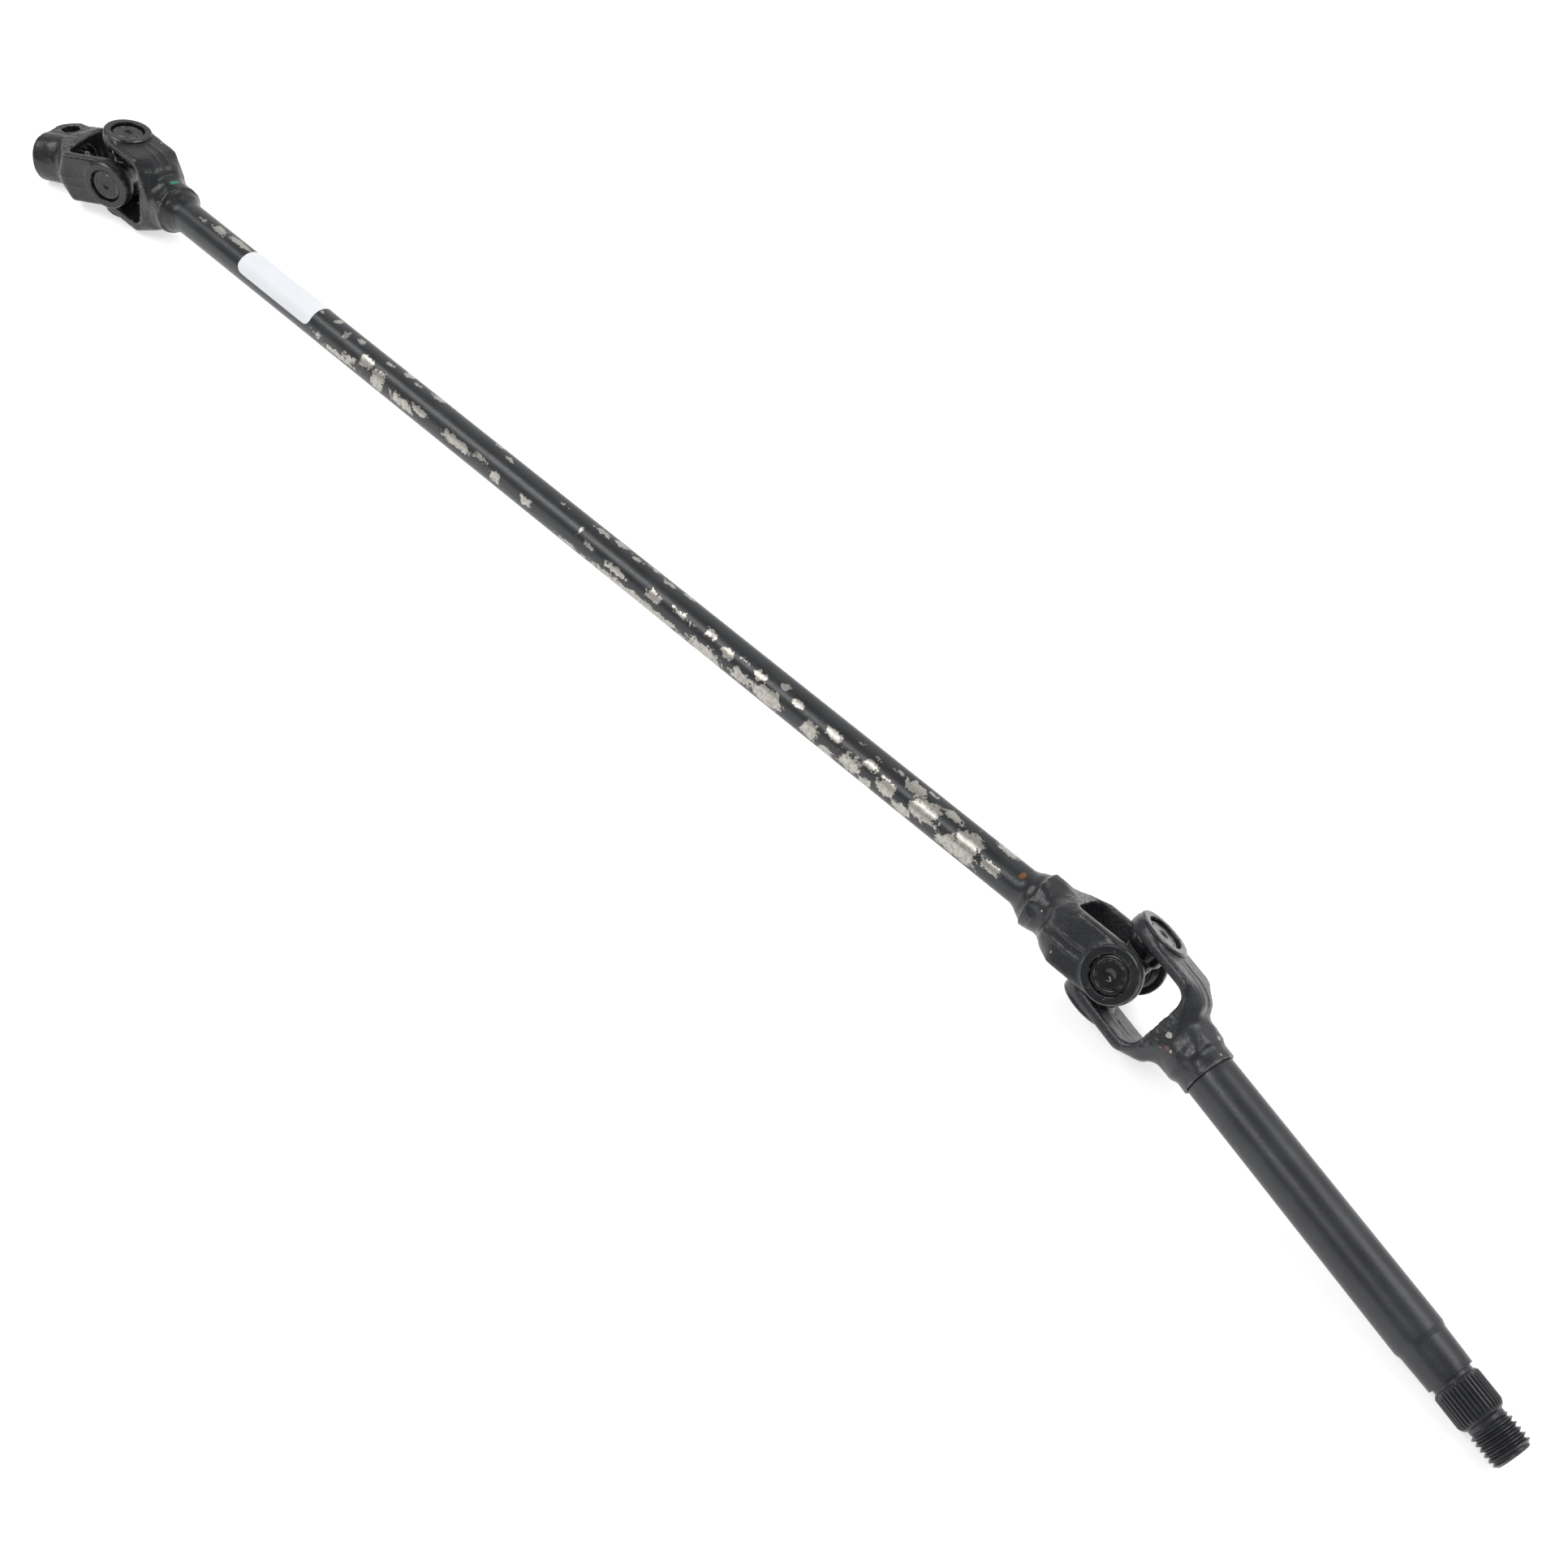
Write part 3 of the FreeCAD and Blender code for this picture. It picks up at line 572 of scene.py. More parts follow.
def draw_in(points, limits, start=-math.inf):
    """Draws points beyond a start in to a turned outline of (place, radius) pairs."""
    places, radii = zip(*limits)
    allowed = np.interp(points[:, 2], places, radii)
    reach = from_hub(points)
    outside = (points[:, 2] > start) & (reach > allowed)
    scale = np.where(outside, allowed / np.maximum(reach, 1e-6), 1.0)
    drawn = points.copy()
    drawn[:, :2] *= scale[:, None]
    return drawn


TAPERED = ("upper_shaft_yoke", "lower_shaft_yoke")
TAPER = [(43.4, 12.2), (44.6, 10.9), (46.2, 9.8), (47.8, 8.85), (49.2, 8.3), (50.3, 8.06)]

# Places where the shoulders are fuller than a plain bend: spot, radius and height.
FULL_SHOULDERS = [
    ((15.0, 5.0, 31.0), 5.5, 2.3),
    ((15.0, -5.0, 31.0), 5.5, 2.3),
    ((-15.0, 5.0, 31.0), 5.5, 2.3),
    ((-15.0, -5.0, 31.0), 5.5, 2.3),
]
SWELLINGS = {
    "upper_shaft_yoke": FULL_SHOULDERS,
    "lower_shaft_yoke": FULL_SHOULDERS,
    "column_yoke": FULL_SHOULDERS,
    "clamp_yoke": [((17.0, 0.0, 27.0), 6.0, 1.2)],
}

# Marks of forging that the yokes carry: place in the yoke's own axes, radius and depth.
DENTS = {
    "upper_shaft_yoke": [
        (on_hub(12.2, 35, 37.0), 4.0, 0.35),
        (on_hub(12.2, -60, 39.0), 4.5, 0.3),
        (on_hub(12.2, 100, 36.0), 4.0, 0.35),
        (on_hub(12.2, 190, 38.0), 4.5, 0.3),
    ],
    "lower_shaft_yoke": [
        (on_hub(12.0, 19, 42.0), 2.6, 0.45),
        (on_hub(12.0, -7, 39.0), 2.4, 0.6),
        (on_hub(12.0, 20, 32.5), 3.2, -0.35),
        (on_hub(12.0, 62, 38.5), 3.6, 0.4),
        (on_hub(12.0, 120, 41.0), 4.0, 0.35),
        (on_hub(12.0, -70, 37.0), 4.0, 0.35),
        (on_hub(12.0, 200, 40.0), 4.0, 0.3),
    ],
    "column_yoke": [
        (on_hub(12.2, -134, 43.7), 3.0, 0.5),
        (on_hub(12.2, -104, 40.2), 2.8, 0.4),
        (on_hub(12.2, -80, 44.0), 3.0, 0.3),
        (on_hub(12.2, -160, 39.0), 3.5, 0.4),
        (on_hub(12.2, 20, 41.0), 4.0, 0.35),
        (on_hub(12.2, 90, 40.0), 4.0, 0.35),
    ],
    "clamp_yoke": [
        ((19.7, 4.0, 17.0), 5.0, 0.2),
        ((12.0, 6.0, 40.0), 6.0, 0.25),
        ((-4.0, -12.0, 33.0), 6.0, 0.25),
    ],
}

# Chips and other marks in the paint of the yokes: place in the yoke's own axes and radius.
CHIPS = {
    "upper_shaft_yoke": [((19.7, -9.5, 14.0), 1.0), (on_hub(12.3, 60, 41.0), 0.9)],
    "lower_shaft_yoke": [((19.7, -7.7, 22.8), 1.1), (on_hub(12.4, 3, 36.0), 1.0)],
    "column_yoke": [
        (on_hub(12.1, -95, 32.0), 2.3),
        (on_hub(12.1, -150, 48.1), 1.9),
        (on_hub(12.1, -68, 33.0), 1.0),
        (on_hub(12.1, -78, 36.8), 1.1),
        (on_hub(12.1, -172, 42.5), 2.0),
    ],
    "clamp_yoke": [((11.0, -5.0, 45.0), 0.9)],
}
RUST_SPOTS = {"column_yoke": [(on_hub(12.1, -77, 35.1), 2.0)]}
# How far the paint of a yoke is the paler grey of the column shaft.
PALE_PAINT = {
    "upper_shaft_yoke": 0.0, "clamp_yoke": 0.0, "lower_shaft_yoke": 0.35, "column_yoke": 1.0,
}
GREEN_MARKS = {"upper_shaft_yoke": on_hub(12.1, -3.4, 37.6)}
GREEN_HALF_WIDTH = 2.9
GREEN_HALF_LENGTH = 1.5

# Where things begin on a yoke: out along the ears, in along the cup bores, and along the hub.
EAR_SKIN = 20.0
CUP_BORE = 14.0
HUB_BORE = 30.0
HUB_BORE_RADIUS = 9.0

# Places round the bore, in degrees, where a cup is staked in, and the size of each dent.
STAKES = (24, 156, 204, 336)
STAKE_DEPTH = 0.35
STAKE_RADIUS = 0.42


def machined_ring(settings, steps):
    """The crisp ring of one ear, turned round Z, with the dents left by staking the cup in."""
    face = settings.ear_face
    bore = settings.cup_radius
    rim = settings.boss_radius
    outline = [
        (bore, face - 8.0),
        (bore, face - 0.25),
        (bore + 0.25, face),
        (rim - 0.6, face),
        (rim, face - 0.6),
        (rim, face - 2.6),
        (rim - 0.5, face - 5.0),
    ]
    outline = round_corners(outline, 0.14, parts=2)
    profile = divide(outline, 0.42)
    points, faces = revolve(profile, steps, closed=True)
    points = np.array(points)
    for degrees in STAKES:
        turn = math.radians(degrees)
        spot = np.array([(bore + 0.75) * math.sin(turn), (bore + 0.75) * math.cos(turn), face])
        points[:, 2] += dent(points, spot, STAKE_RADIUS, STAKE_DEPTH)
    return points, faces


def sink_under_ring(points, settings):
    """Draws the forged skin in below the machined rings, so that only the rings show."""
    sideways = np.abs(points[:, 0])
    reach = from_ears(points)
    safe = np.maximum(reach, 1e-6)
    at_ring = (sideways > 19.6) & (reach < settings.boss_radius + 0.7)
    at_ring &= reach > settings.cup_radius - 0.12
    moved = points.copy()
    depth = np.minimum(sideways, settings.ear_face - 0.4)
    wanted = np.clip(reach, settings.cup_radius + 0.3, settings.boss_radius - 0.3)
    above = at_ring & (sideways > 20.1)
    moved[above, 0] = np.sign(points[above, 0]) * depth[above]
    scale = (wanted / safe)[above]
    moved[above, 1] *= scale
    moved[above, 2] *= scale
    in_bore = (np.abs(reach - settings.cup_radius) < 0.25) & (sideways > CUP_BORE) & ~above
    scale = ((settings.cup_radius + 0.3) / safe)[in_bore]
    moved[in_bore, 1] *= scale
    moved[in_bore, 2] *= scale
    return moved


def skin_softness(node, points, bearing):
    """How freely each point may be smoothed: 1 on open skin, near 0 on machined faces."""
    sideways = np.abs(points[:, 0])
    ear_reach = from_ears(points)
    soft = np.ones(len(points))
    soft[(sideways > EAR_SKIN) & (ear_reach < bearing.boss_radius + 0.5)] = 0.15
    soft[(ear_reach < bearing.cup_radius + 0.4) & (sideways > CUP_BORE)] = 0.0
    soft[(from_hub(points) < HUB_BORE_RADIUS) & (points[:, 2] > HUB_BORE)] = 0.05
    if node == "clamp_yoke":
        soft[bolt_distance(points) < 5.2] = 0.1
    return soft


def smooth_skin(mesh, first, soft, settings):
    """Blends the whole skin, and then the shoulders behind the fork once more."""
    kept = np.clip((first[:, 2] - 31.0) / 5.0, 0.15, 1.0)
    points = relax(mesh, soft, kept, settings.smoothing)
    inwards = np.minimum((np.abs(points[:, 0]) - 16.0) / 5.0, 0.0)
    shoulder = np.exp(-(((points[:, 2] - 29.0) / 5.5) ** 4)) * np.exp(-inwards ** 2)
    relax(mesh, soft * shoulder, np.full(len(points), 0.3), settings.shoulder_rounds)


def skin_height(node, settings, first, points, soft):
    """How far lumps, scale, dents, ridges and swellings raise the skin at each point."""
    seed = 1 + list(AXES).index(node)
    sideways = np.abs(first[:, 0])
    along = first[:, 2]
    strength = soft * (0.3 + 0.7 * np.clip((along - 24.0) / 8.0, 0.0, 1.0))
    throat = np.clip((12.0 - sideways) / 2.0, 0.0, 1.0) * np.clip((33.0 - along) / 3.0, 0.0, 1.0)
    height = ripple(points, 7.5, seed) * settings.lump * strength
    height += ripple(points, 3.4, seed + 5) * settings.lump * 0.4 * strength
    height += ripple(points, 1.3, seed + 9) * settings.pebble * soft * (1.0 + 2.5 * throat)
    height -= (settings.lump * 0.45 + 0.05) * strength
    for spot, radius, depth in DENTS[node]:
        height += dent(points, spot, radius, 1.5 * depth) * soft
    height += flash_ridges(points) * soft
    for spot, radius, rise in SWELLINGS[node]:
        height -= dent(points, spot, radius, rise) * soft
    return height


def paint_fields(node, mesh, first, points, wear_and_highlight):
    """Writes the fields that the finish of the forgings reads."""
    chips = patches(points, CHIPS[node])
    if node == "clamp_yoke":
        # Bare steel on the wall of the pinch bolt hole, only on its side nearer the joint; the rest of the wall
        # stays painted.
        in_hole = (bolt_distance(points) < 4.75) & (np.abs(points[:, 1]) < 9.5)
        chips[in_hole & (first[:, 2] < 35.6)] = 1.0
    green = np.zeros(len(points))
    if node in GREEN_MARKS:
        away = np.abs(points - np.array(GREEN_MARKS[node]))
        across = np.maximum(away[:, 1] / GREEN_HALF_WIDTH, away[:, 2] / GREEN_HALF_LENGTH)
        green = np.clip(1.6 - across, 0.0, 1.0) * (away[:, 0] < 4.0)
    set_attribute(mesh, "wear_and_highlight", wear_and_highlight)
    set_attribute(mesh, "chip", chips)
    set_attribute(mesh, "rust", patches(points, RUST_SPOTS.get(node, [])))
    set_attribute(mesh, "green", green)
    set_attribute(mesh, "pale", np.full(len(points), PALE_PAINT[node]))


def add_rings(node, mesh, settings, bearing):
    """Adds the machined rings of both ears to a forging."""
    shape = bmesh.new()
    shape.from_mesh(mesh)
    wear_and_highlight_layer = shape.verts.layers.float["wear_and_highlight"]
    gloss_layer = shape.verts.layers.float.new("gloss")
    pale_layer = shape.verts.layers.float["pale"]
    ring_points, ring_faces = machined_ring(bearing, settings.ring_steps)
    for sign in (1, -1):
        turned = Matrix.Rotation(math.radians(90 * sign), 4, "Y")
        added = [shape.verts.new(turned @ Vector(point)) for point in ring_points]
        made = [shape.faces.new([added[index] for index in face]) for face in ring_faces]
        bmesh.ops.recalc_face_normals(shape, faces=made)
        for vertex in added:
            # The outer corner of each ring's rim is lightened: a painted highlight, where the paint also chips.
            rim_gap = abs(math.hypot(vertex.co.y, vertex.co.z) - (bearing.boss_radius - 0.3))
            corner = max(0.0, 1.0 - rim_gap / 0.5) * (abs(vertex.co.x) > bearing.ear_face - 0.8)
            vertex[wear_and_highlight_layer] = 0.75 * corner
            vertex[gloss_layer] = 1.0
            vertex[pale_layer] = 0.4 * PALE_PAINT[node]
    shape.to_mesh(mesh)
    shape.free()


def forge_yoke(node, settings, bearing):
    """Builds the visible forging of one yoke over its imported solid."""
    matrix = AXES[node].matrix
    mesh = rebuild(node, matrix, settings.voxel)
    first = coordinates(mesh)
    soft = skin_softness(node, first, bearing)
    smooth_skin(mesh, first, soft, settings)
    points = coordinates(mesh)
    height = skin_height(node, settings, first, points, soft)
    points = points + normals(mesh) * height[:, None]
    if node in TAPERED:
        points = draw_in(points, TAPER, start=TAPER[0][0])
    set_coordinates(mesh, points)
    # Sharp outer edges get rubbed paint and chips, and a painted highlight that lightens them.
    wear_and_highlight = edge_wear_and_highlight(mesh, points)
    at_ears = (np.abs(first[:, 0]) > EAR_SKIN) & (from_ears(first) < bearing.boss_radius + 0.3)
    wear_and_highlight[at_ears] = 0.0
    points = sink_under_ring(points, bearing)
    set_coordinates(mesh, points)
    paint_fields(node, mesh, first, points, wear_and_highlight)
    add_rings(node, mesh, settings, bearing)
    finished(mesh, node + "_forging", BODIES[node], "painted_forging", [node], matrix, 40)


# Turned pieces of the joints.

def turned_piece(node, profile, matrix, steps, body, slot, worn_and_highlight_radii=()):
    """A lathe-turned piece; its last argument lists radii whose edges on its outer end get painted highlights."""
    name = node + "_turned"
    points, faces = revolve(profile, steps, closed=True)
    mesh = mesh_from(name, points, faces)
    tidy_normals(mesh)
    if worn_and_highlight_radii:
        points = coordinates(mesh)
        reach = from_hub(points)
        outer = points[:, 2] > points[:, 2].max() - 1.2
        lines = np.zeros(len(points))
        for radius in worn_and_highlight_radii:
            lines = np.maximum(lines, 1.0 - np.abs(reach - radius) / 0.2)
        set_attribute(mesh, "wear_and_highlight", np.clip(lines, 0.0, 1.0) * outer)
    finished(mesh, name, body, slot, [node], matrix, 35)


def outward(node, sign):
    """Axes of one ear: Z runs out through the ear."""
    return AXES[node].matrix @ Matrix.Rotation(math.radians(90 * sign), 4, "Y")


DIMPLE_RADIUS = 2.3
DIMPLE_DEPTH = 0.85
DIMPLE_CURVE = 3.54
DIMPLE_STEPS = 12
# Radii of the cup's ring edges that are lightened as painted highlights.
CUP_WORN_AND_HIGHLIGHT_RADII = (5.4, 6.05, 7.5)


def cup_profile(settings):
    """A bearing cup with a dimple, a raised middle, a groove and a rounded rim."""
    top = settings.ear_face - settings.cup_recess
    radius = settings.cup_radius - 0.01
    dimple = []
    for k in range(DIMPLE_STEPS):
        reach = DIMPLE_RADIUS * k / DIMPLE_STEPS
        rise = DIMPLE_CURVE - math.sqrt(DIMPLE_CURVE ** 2 - reach ** 2)
        dimple.append((reach, top - DIMPLE_DEPTH + rise))
    face = dimple + [
        (2.45, top - 0.02),
        (2.7, top),
        (5.3, top),
        (5.45, top - 0.12),
        (5.6, top - 0.25),
        (5.85, top - 0.25),
        (6.0, top - 0.06),
        (6.15, top - 0.01),
        (6.9, top - 0.05),
        (radius - 0.75, top - 0.16),
        (radius - 0.3, top - 0.45),
        (radius - 0.08, top - 0.75),
        (radius, top - 1.1),
    ]
    walls = [
        (radius, top - settings.cup_length),
        (6.65, top - settings.cup_length),
        (6.65, top - 2.0),
        (0.0, top - 2.0),
    ]
    return divide(face, 0.2) + walls


def seal_profile(settings):
    """A seal between the mouth of a cup and the shoulder of the cross."""
    mouth = settings.ear_face - settings.cup_recess - settings.cup_length - 0.1
    return [
        (4.85, 8.55),
        (6.9, 8.55),
        (7.4, 8.75),
        (7.55, 9.05),
        (7.45, mouth - 0.1),
        (6.9, mouth),
        (4.85, mouth),
    ]


# Shafts.

# Chips of the long shaft: from and to along it in millimetres from the upper joint,
# from and to round it in degrees from the top towards the front, and how solid they are.
SHAFT_CHIPS = [
    (60, 68, 12, 22, 0.8), (72, 84, -12, 24, 1.0), (82, 99, -16, 12, 1.0),
    (155, 158, 0, 15, 0.8), (165, 168, -20, 15, 0.7), (174, 178, 0, 38, 0.7),
    (182, 187, -10, 15, 0.8), (203, 208, -10, 10, 0.9), (213, 219, -40, 0, 0.9),
    (222, 226, -10, 8, 0.8), (157, 165, 75, 95, 0.7), (167, 190, 85, 112, 0.9),
    (180, 190, 65, 90, 0.8), (191, 200, 28, 70, 0.9), (200, 210, 40, 115, 0.9),
    (215, 232, 65, 105, 0.7), (232, 240, -30, 0, 0.9), (275, 280, -30, -12, 0.8),
    (285, 291, -10, 10, 0.9), (323, 327, 3, 10, 0.7), (343, 353, -15, 5, 1.0),
    (354, 362, -30, 0, 1.0), (364, 373, -15, 5, 0.9), (375, 382, -30, -10, 0.9),
    (385, 392, -20, 0, 0.9), (395, 402, -30, -12, 0.8), (339, 341, 20, 50, 0.6),
    (229, 241, 55, 80, 0.9), (250, 271, 55, 90, 1.0), (272, 281, 50, 70, 0.9),
    (284, 291, 60, 105, 0.9), (304, 312, 65, 97, 0.9), (343, 352, 55, 72, 0.9),
    (357, 373, 60, 83, 1.0), (383, 392, 42, 75, 0.9), (398, 410, 40, 60, 0.7),
    (328, 342, 100, 120, 0.9), (345, 410, 90, 135, 0.9), (416, 423, 20, 50, 0.9),
    (427, 434, 35, 70, 0.9), (436, 441, 30, 45, 0.8), (445, 453, 28, 60, 1.0),
    (457, 463, 10, 35, 0.9), (467, 473, 25, 50, 0.9), (486, 495, 25, 60, 1.0),
    (499, 504, 5, 20, 0.8), (507, 515, 28, 60, 0.9), (509, 512, 12, 22, 0.7),
    (519, 524, 0, 12, 0.9), (526, 536, -8, 35, 1.0), (536, 541, -12, 0, 0.8),
    (546, 555, -5, 25, 1.0), (533, 547, 15, 90, 1.0), (556, 568, 5, 100, 1.0),
    (548, 570, 60, 115, 1.0), (570, 580, 45, 75, 0.9), (570, 580, -35, 0, 0.9),
    (410, 430, 75, 135, 0.9), (435, 447, 65, 110, 1.0), (447, 465, 55, 120, 1.0),
    (475, 485, 55, 115, 1.0), (486, 494, 90, 130, 0.9), (496, 508, 55, 115, 1.0),
    (508, 515, 85, 135, 0.9), (516, 526, 42, 100, 1.0), (526, 536, 75, 120, 1.0),
]
SHAFT_RUST = [(585, 588, 5, 35, 1.0)]


def marks_on_bar(along, degrees, marks, radius):
    """A field over a bar that is positive inside the marks, up to 1 in their middles."""
    field = np.full(len(along), -1.0)
    for start, end, low, high, strength in marks:
        half_length = (end - start) / 2
        half_width = math.radians(high - low) * radius / 2
        off_along = (along - (start + end) / 2) / half_length
        turn = (degrees - (low + high) / 2 + 180.0) % 360.0 - 180.0
        off_round = np.radians(turn) * radius / half_width
        away = (np.abs(off_along) ** 2.4 + np.abs(off_round) ** 2.4) ** (1 / 2.4)
        smallest = min(half_length, half_width)
        depth = (1.0 - away) * min(1.0, smallest / 2.0) * strength
        field = np.maximum(field, depth)
    return np.clip(field, -1.0, 1.0)


def long_bar(settings):
    """The long shaft with the fields that its shader reads for chips and rust."""
    radius = settings.shaft_radius
    start = settings.seat
    end = settings.joint_spacing - settings.seat
    bevel = 0.8
    outline = [(0.0, start), (radius - bevel, start), (radius, start + bevel)]
    outline += [(radius, end - bevel), (radius - bevel, end), (0.0, end)]
    points, faces = revolve(divide(outline, 1.25), 80)
    mesh = mesh_from("long_bar", points, faces)
    tidy_normals(mesh)
    points = coordinates(mesh)
    degrees = np.degrees(np.arctan2(points[:, 1], points[:, 0]))
    set_attribute(mesh, "chip", marks_on_bar(points[:, 2], degrees, SHAFT_CHIPS, radius))
    set_attribute(mesh, "rust", marks_on_bar(points[:, 2], degrees, SHAFT_RUST, radius))
    finished(mesh, "long_bar", "long_shaft", "painted_shaft", ["main_shaft"],
             AXES["upper_shaft_yoke"].matrix, 30)


# Edges of the label round the shaft, in degrees from the upper ears, and its thickness.
LABEL_LOW = -145.0
LABEL_HIGH = 84.0
LABEL_THICKNESS = 0.11


def blank_label(settings):
    """The white label wrapped round the long shaft, with rounded corners and a few wrinkles."""
    inner = settings.shaft_radius + 0.01
    start, end, corner = settings.label_start, settings.label_end, settings.label_corner
    low = math.radians(LABEL_LOW)
    high = math.radians(LABEL_HIGH)
    stations = [start + corner * (1 - math.cos(math.pi / 2 * k / 8)) for k in range(8)]
    straight = end - start - 2 * corner
    stations += [start + corner + straight * k / 60 for k in range(61)]
    stations += [end - corner + corner * math.sin(math.pi / 2 * k / 8) for k in range(1, 9)]
    across = 96
    rows = []
    for station in stations:
        into = corner - min(station - start, end - station, corner)
        inset = (corner - math.sqrt(max(corner ** 2 - into ** 2, 0.0))) / inner
        rows.append([
            (station, low + inset + (high - low - 2 * inset) * k / across)
            for k in range(across + 1)
        ])
    points = []
    for layer in (0.0, LABEL_THICKNESS):
        for row in rows:
            for station, turn in row:
                lift = 0.0
                if layer:
                    edge = math.exp(-((turn + 0.35) / 0.30) ** 2)
                    wave = noise.noise(Vector((station / 5.0, turn * 1.1, 3.0)))
                    lift = 0.02 * edge * max(0.0, wave)
                radius = inner + layer + lift
                points.append((radius * math.cos(turn), radius * math.sin(turn), station))
    width = across + 1
    count = len(rows) * width
    faces = []
    for row in range(len(rows) - 1):
        for column in range(across):
            a = row * width + column
            faces.append((a, a + 1, a + width + 1, a + width))
            faces.append((count + a, count + a + width, count + a + width + 1, count + a + 1))
    border = list(range(across))
    border += [row * width + across for row in range(len(rows) - 1)]
    border += [(len(rows) - 1) * width + column for column in range(across, 0, -1)]
    border += [row * width for row in range(len(rows) - 1, 0, -1)]
    for a, b in zip(border, border[1:] + border[:1]):
        faces.append((a, b, count + b, count + a))
    mesh = mesh_from("blank_label", points, faces)
    tidy_normals(mesh)
    finished(mesh, "blank_label", "long_shaft", "label_paper", ["paper_label"],
             AXES["upper_shaft_yoke"].matrix, 40)


# The column shaft as (radius, height) pairs, and how far its teeth and turns may reach
# as (height, radius) pairs.
COLUMN_OUTLINE = [
    (0.0, 31.0), (9.2, 31.0), (9.2, 50.3), (10.1, 50.32), (10.1, 161.0), (9.4, 163.3),
    (9.0, 176.7), (7.75, 176.72), (7.75, 178.2), (8.2, 178.6), (8.2, 192.0), (7.0, 192.8),
    (7.0, 194.3), (6.7, 194.5), (6.7, 206.3), (6.3, 206.6), (0.0, 206.6),
]
SPLINE_LIMIT = [(178.2, 7.75), (179.5, 9.0), (191.1, 9.0), (192.8, 7.0)]
THREAD_LIMIT = [(194.3, 7.0), (195.2, 7.9), (205.3, 7.9), (206.6, 6.3)]


def column_bar():
    """The turned column shaft: journal, taper seat, groove and the cores of spline and thread."""
    profile = divide(round_corners(COLUMN_OUTLINE, 0.16, parts=2), 4.0)
    points, faces = revolve(profile, 128)
    mesh = mesh_from("column_bar", points, faces)
    tidy_normals(mesh)
    finished(mesh, "column_bar", "column_end", "painted_column", ["column_shaft"],
             AXES["column_yoke"].matrix, 30)


def new_tree(name, inputs):
    """A geometry node tree with named inputs; returns it with its input and output nodes."""
    tree = bpy.data.node_groups.new(name, "GeometryNodeTree")
    tree.interface.new_socket("Geometry", in_out="INPUT", socket_type="NodeSocketGeometry")
    for label, kind in inputs:
        tree.interface.new_socket(label, in_out="INPUT", socket_type=kind)
    tree.interface.new_socket("Geometry", in_out="OUTPUT", socket_type="NodeSocketGeometry")
    start = tree.nodes.new("NodeGroupInput")
    end = tree.nodes.new("NodeGroupOutput")
    return tree, start, end


def feed(tree, socket, value):
    """Gives a socket a value, or a link where the value is another socket."""
    if isinstance(value, bpy.types.NodeSocket):
        tree.links.new(value, socket)
    else:
        socket.default_value = value


def place_node(tree, kind, settings=None, inputs=None):
    """Adds a node, sets its properties and feeds its inputs with values or sockets."""
    made = tree.nodes.new(kind)
    for name, value in (settings or {}).items():
        setattr(made, name, value)
    for name, value in (inputs or {}).items():
        feed(tree, made.inputs[name], value)
    return made


def end_tree(tree, shape, start, end):
    """Ends a tree with its instances made real and its finish set."""
    real = place_node(tree, "GeometryNodeRealizeInstances", inputs={"Geometry": shape})
    coated = place_node(tree, "GeometryNodeSetMaterial", inputs={
        "Geometry": real.outputs[0], "Material": start.outputs["Finish"],
    })
    tree.links.new(coated.outputs[0], end.inputs[0])


def trapezoid(tree, start, top):
    """The section of a tooth or a turn; top names the input for its width at the tip."""
    return place_node(tree, "GeometryNodeCurvePrimitiveQuadrilateral", {"mode": "TRAPEZOID"}, {
        "Bottom Width": start.outputs["Root width"],
        "Top Width": start.outputs[top],
        "Height": start.outputs["Depth"],
        "Offset": 0.0,
    })


def grown_mesh(name, tree, values):
    """Evaluates a geometry node tree on an empty mesh and returns the result as a plain mesh."""
    carrier = link_mesh(name, bpy.data.meshes.new(name + "_start"))
    modifier = carrier.modifiers.new("Nodes", "NODES")
    modifier.node_group = tree
    for item in tree.interface.items_tree:
        if item.in_out == "INPUT" and item.name in values:
            modifier[item.identifier] = values[item.name]
    seen = carrier.evaluated_get(bpy.context.evaluated_depsgraph_get())
    mesh = bpy.data.meshes.new_from_object(seen)
    carrier.modifiers.clear()
    bpy.data.objects.remove(carrier)
    mesh.name = name
    return mesh


def spline_tree():
    """Straight teeth of a trapezoid section, set evenly round Z."""
    inputs = [
        ("Teeth", "NodeSocketInt"),
        ("Root radius", "NodeSocketFloat"),
        ("Root width", "NodeSocketFloat"),
        ("Tip width", "NodeSocketFloat"),
        ("Depth", "NodeSocketFloat"),
        ("Start", "NodeSocketVector"),
        ("End", "NodeSocketVector"),
        ("Finish", "NodeSocketMaterial"),
    ]
    tree, start, end = new_tree("Spline teeth", inputs)
    line = place_node(tree, "GeometryNodeCurvePrimitiveLine", inputs={
        "Start": start.outputs["Start"], "End": start.outputs["End"],
    })
    finer = place_node(tree, "GeometryNodeResampleCurve", inputs={
        "Curve": line.outputs[0], "Count": 13,
    })
    section = trapezoid(tree, start, "Tip width")
    tooth = place_node(tree, "GeometryNodeCurveToMesh", inputs={
        "Curve": finer.outputs[0], "Profile Curve": section.outputs[0], "Fill Caps": True,
    })
    circle = place_node(tree, "GeometryNodeMeshCircle", inputs={
        "Vertices": start.outputs["Teeth"], "Radius": start.outputs["Root radius"],
    })
    where = place_node(tree, "GeometryNodeInputPosition")
    facing = place_node(tree, "FunctionNodeAlignEulerToVector", {"axis": "Y", "pivot_axis": "Z"}, {
        "Vector": where.outputs[0],
    })
    spread = place_node(tree, "GeometryNodeInstanceOnPoints", inputs={
        "Points": circle.outputs[0], "Instance": tooth.outputs[0], "Rotation": facing.outputs[0],
    })
    end_tree(tree, spread.outputs[0], start, end)
    return tree


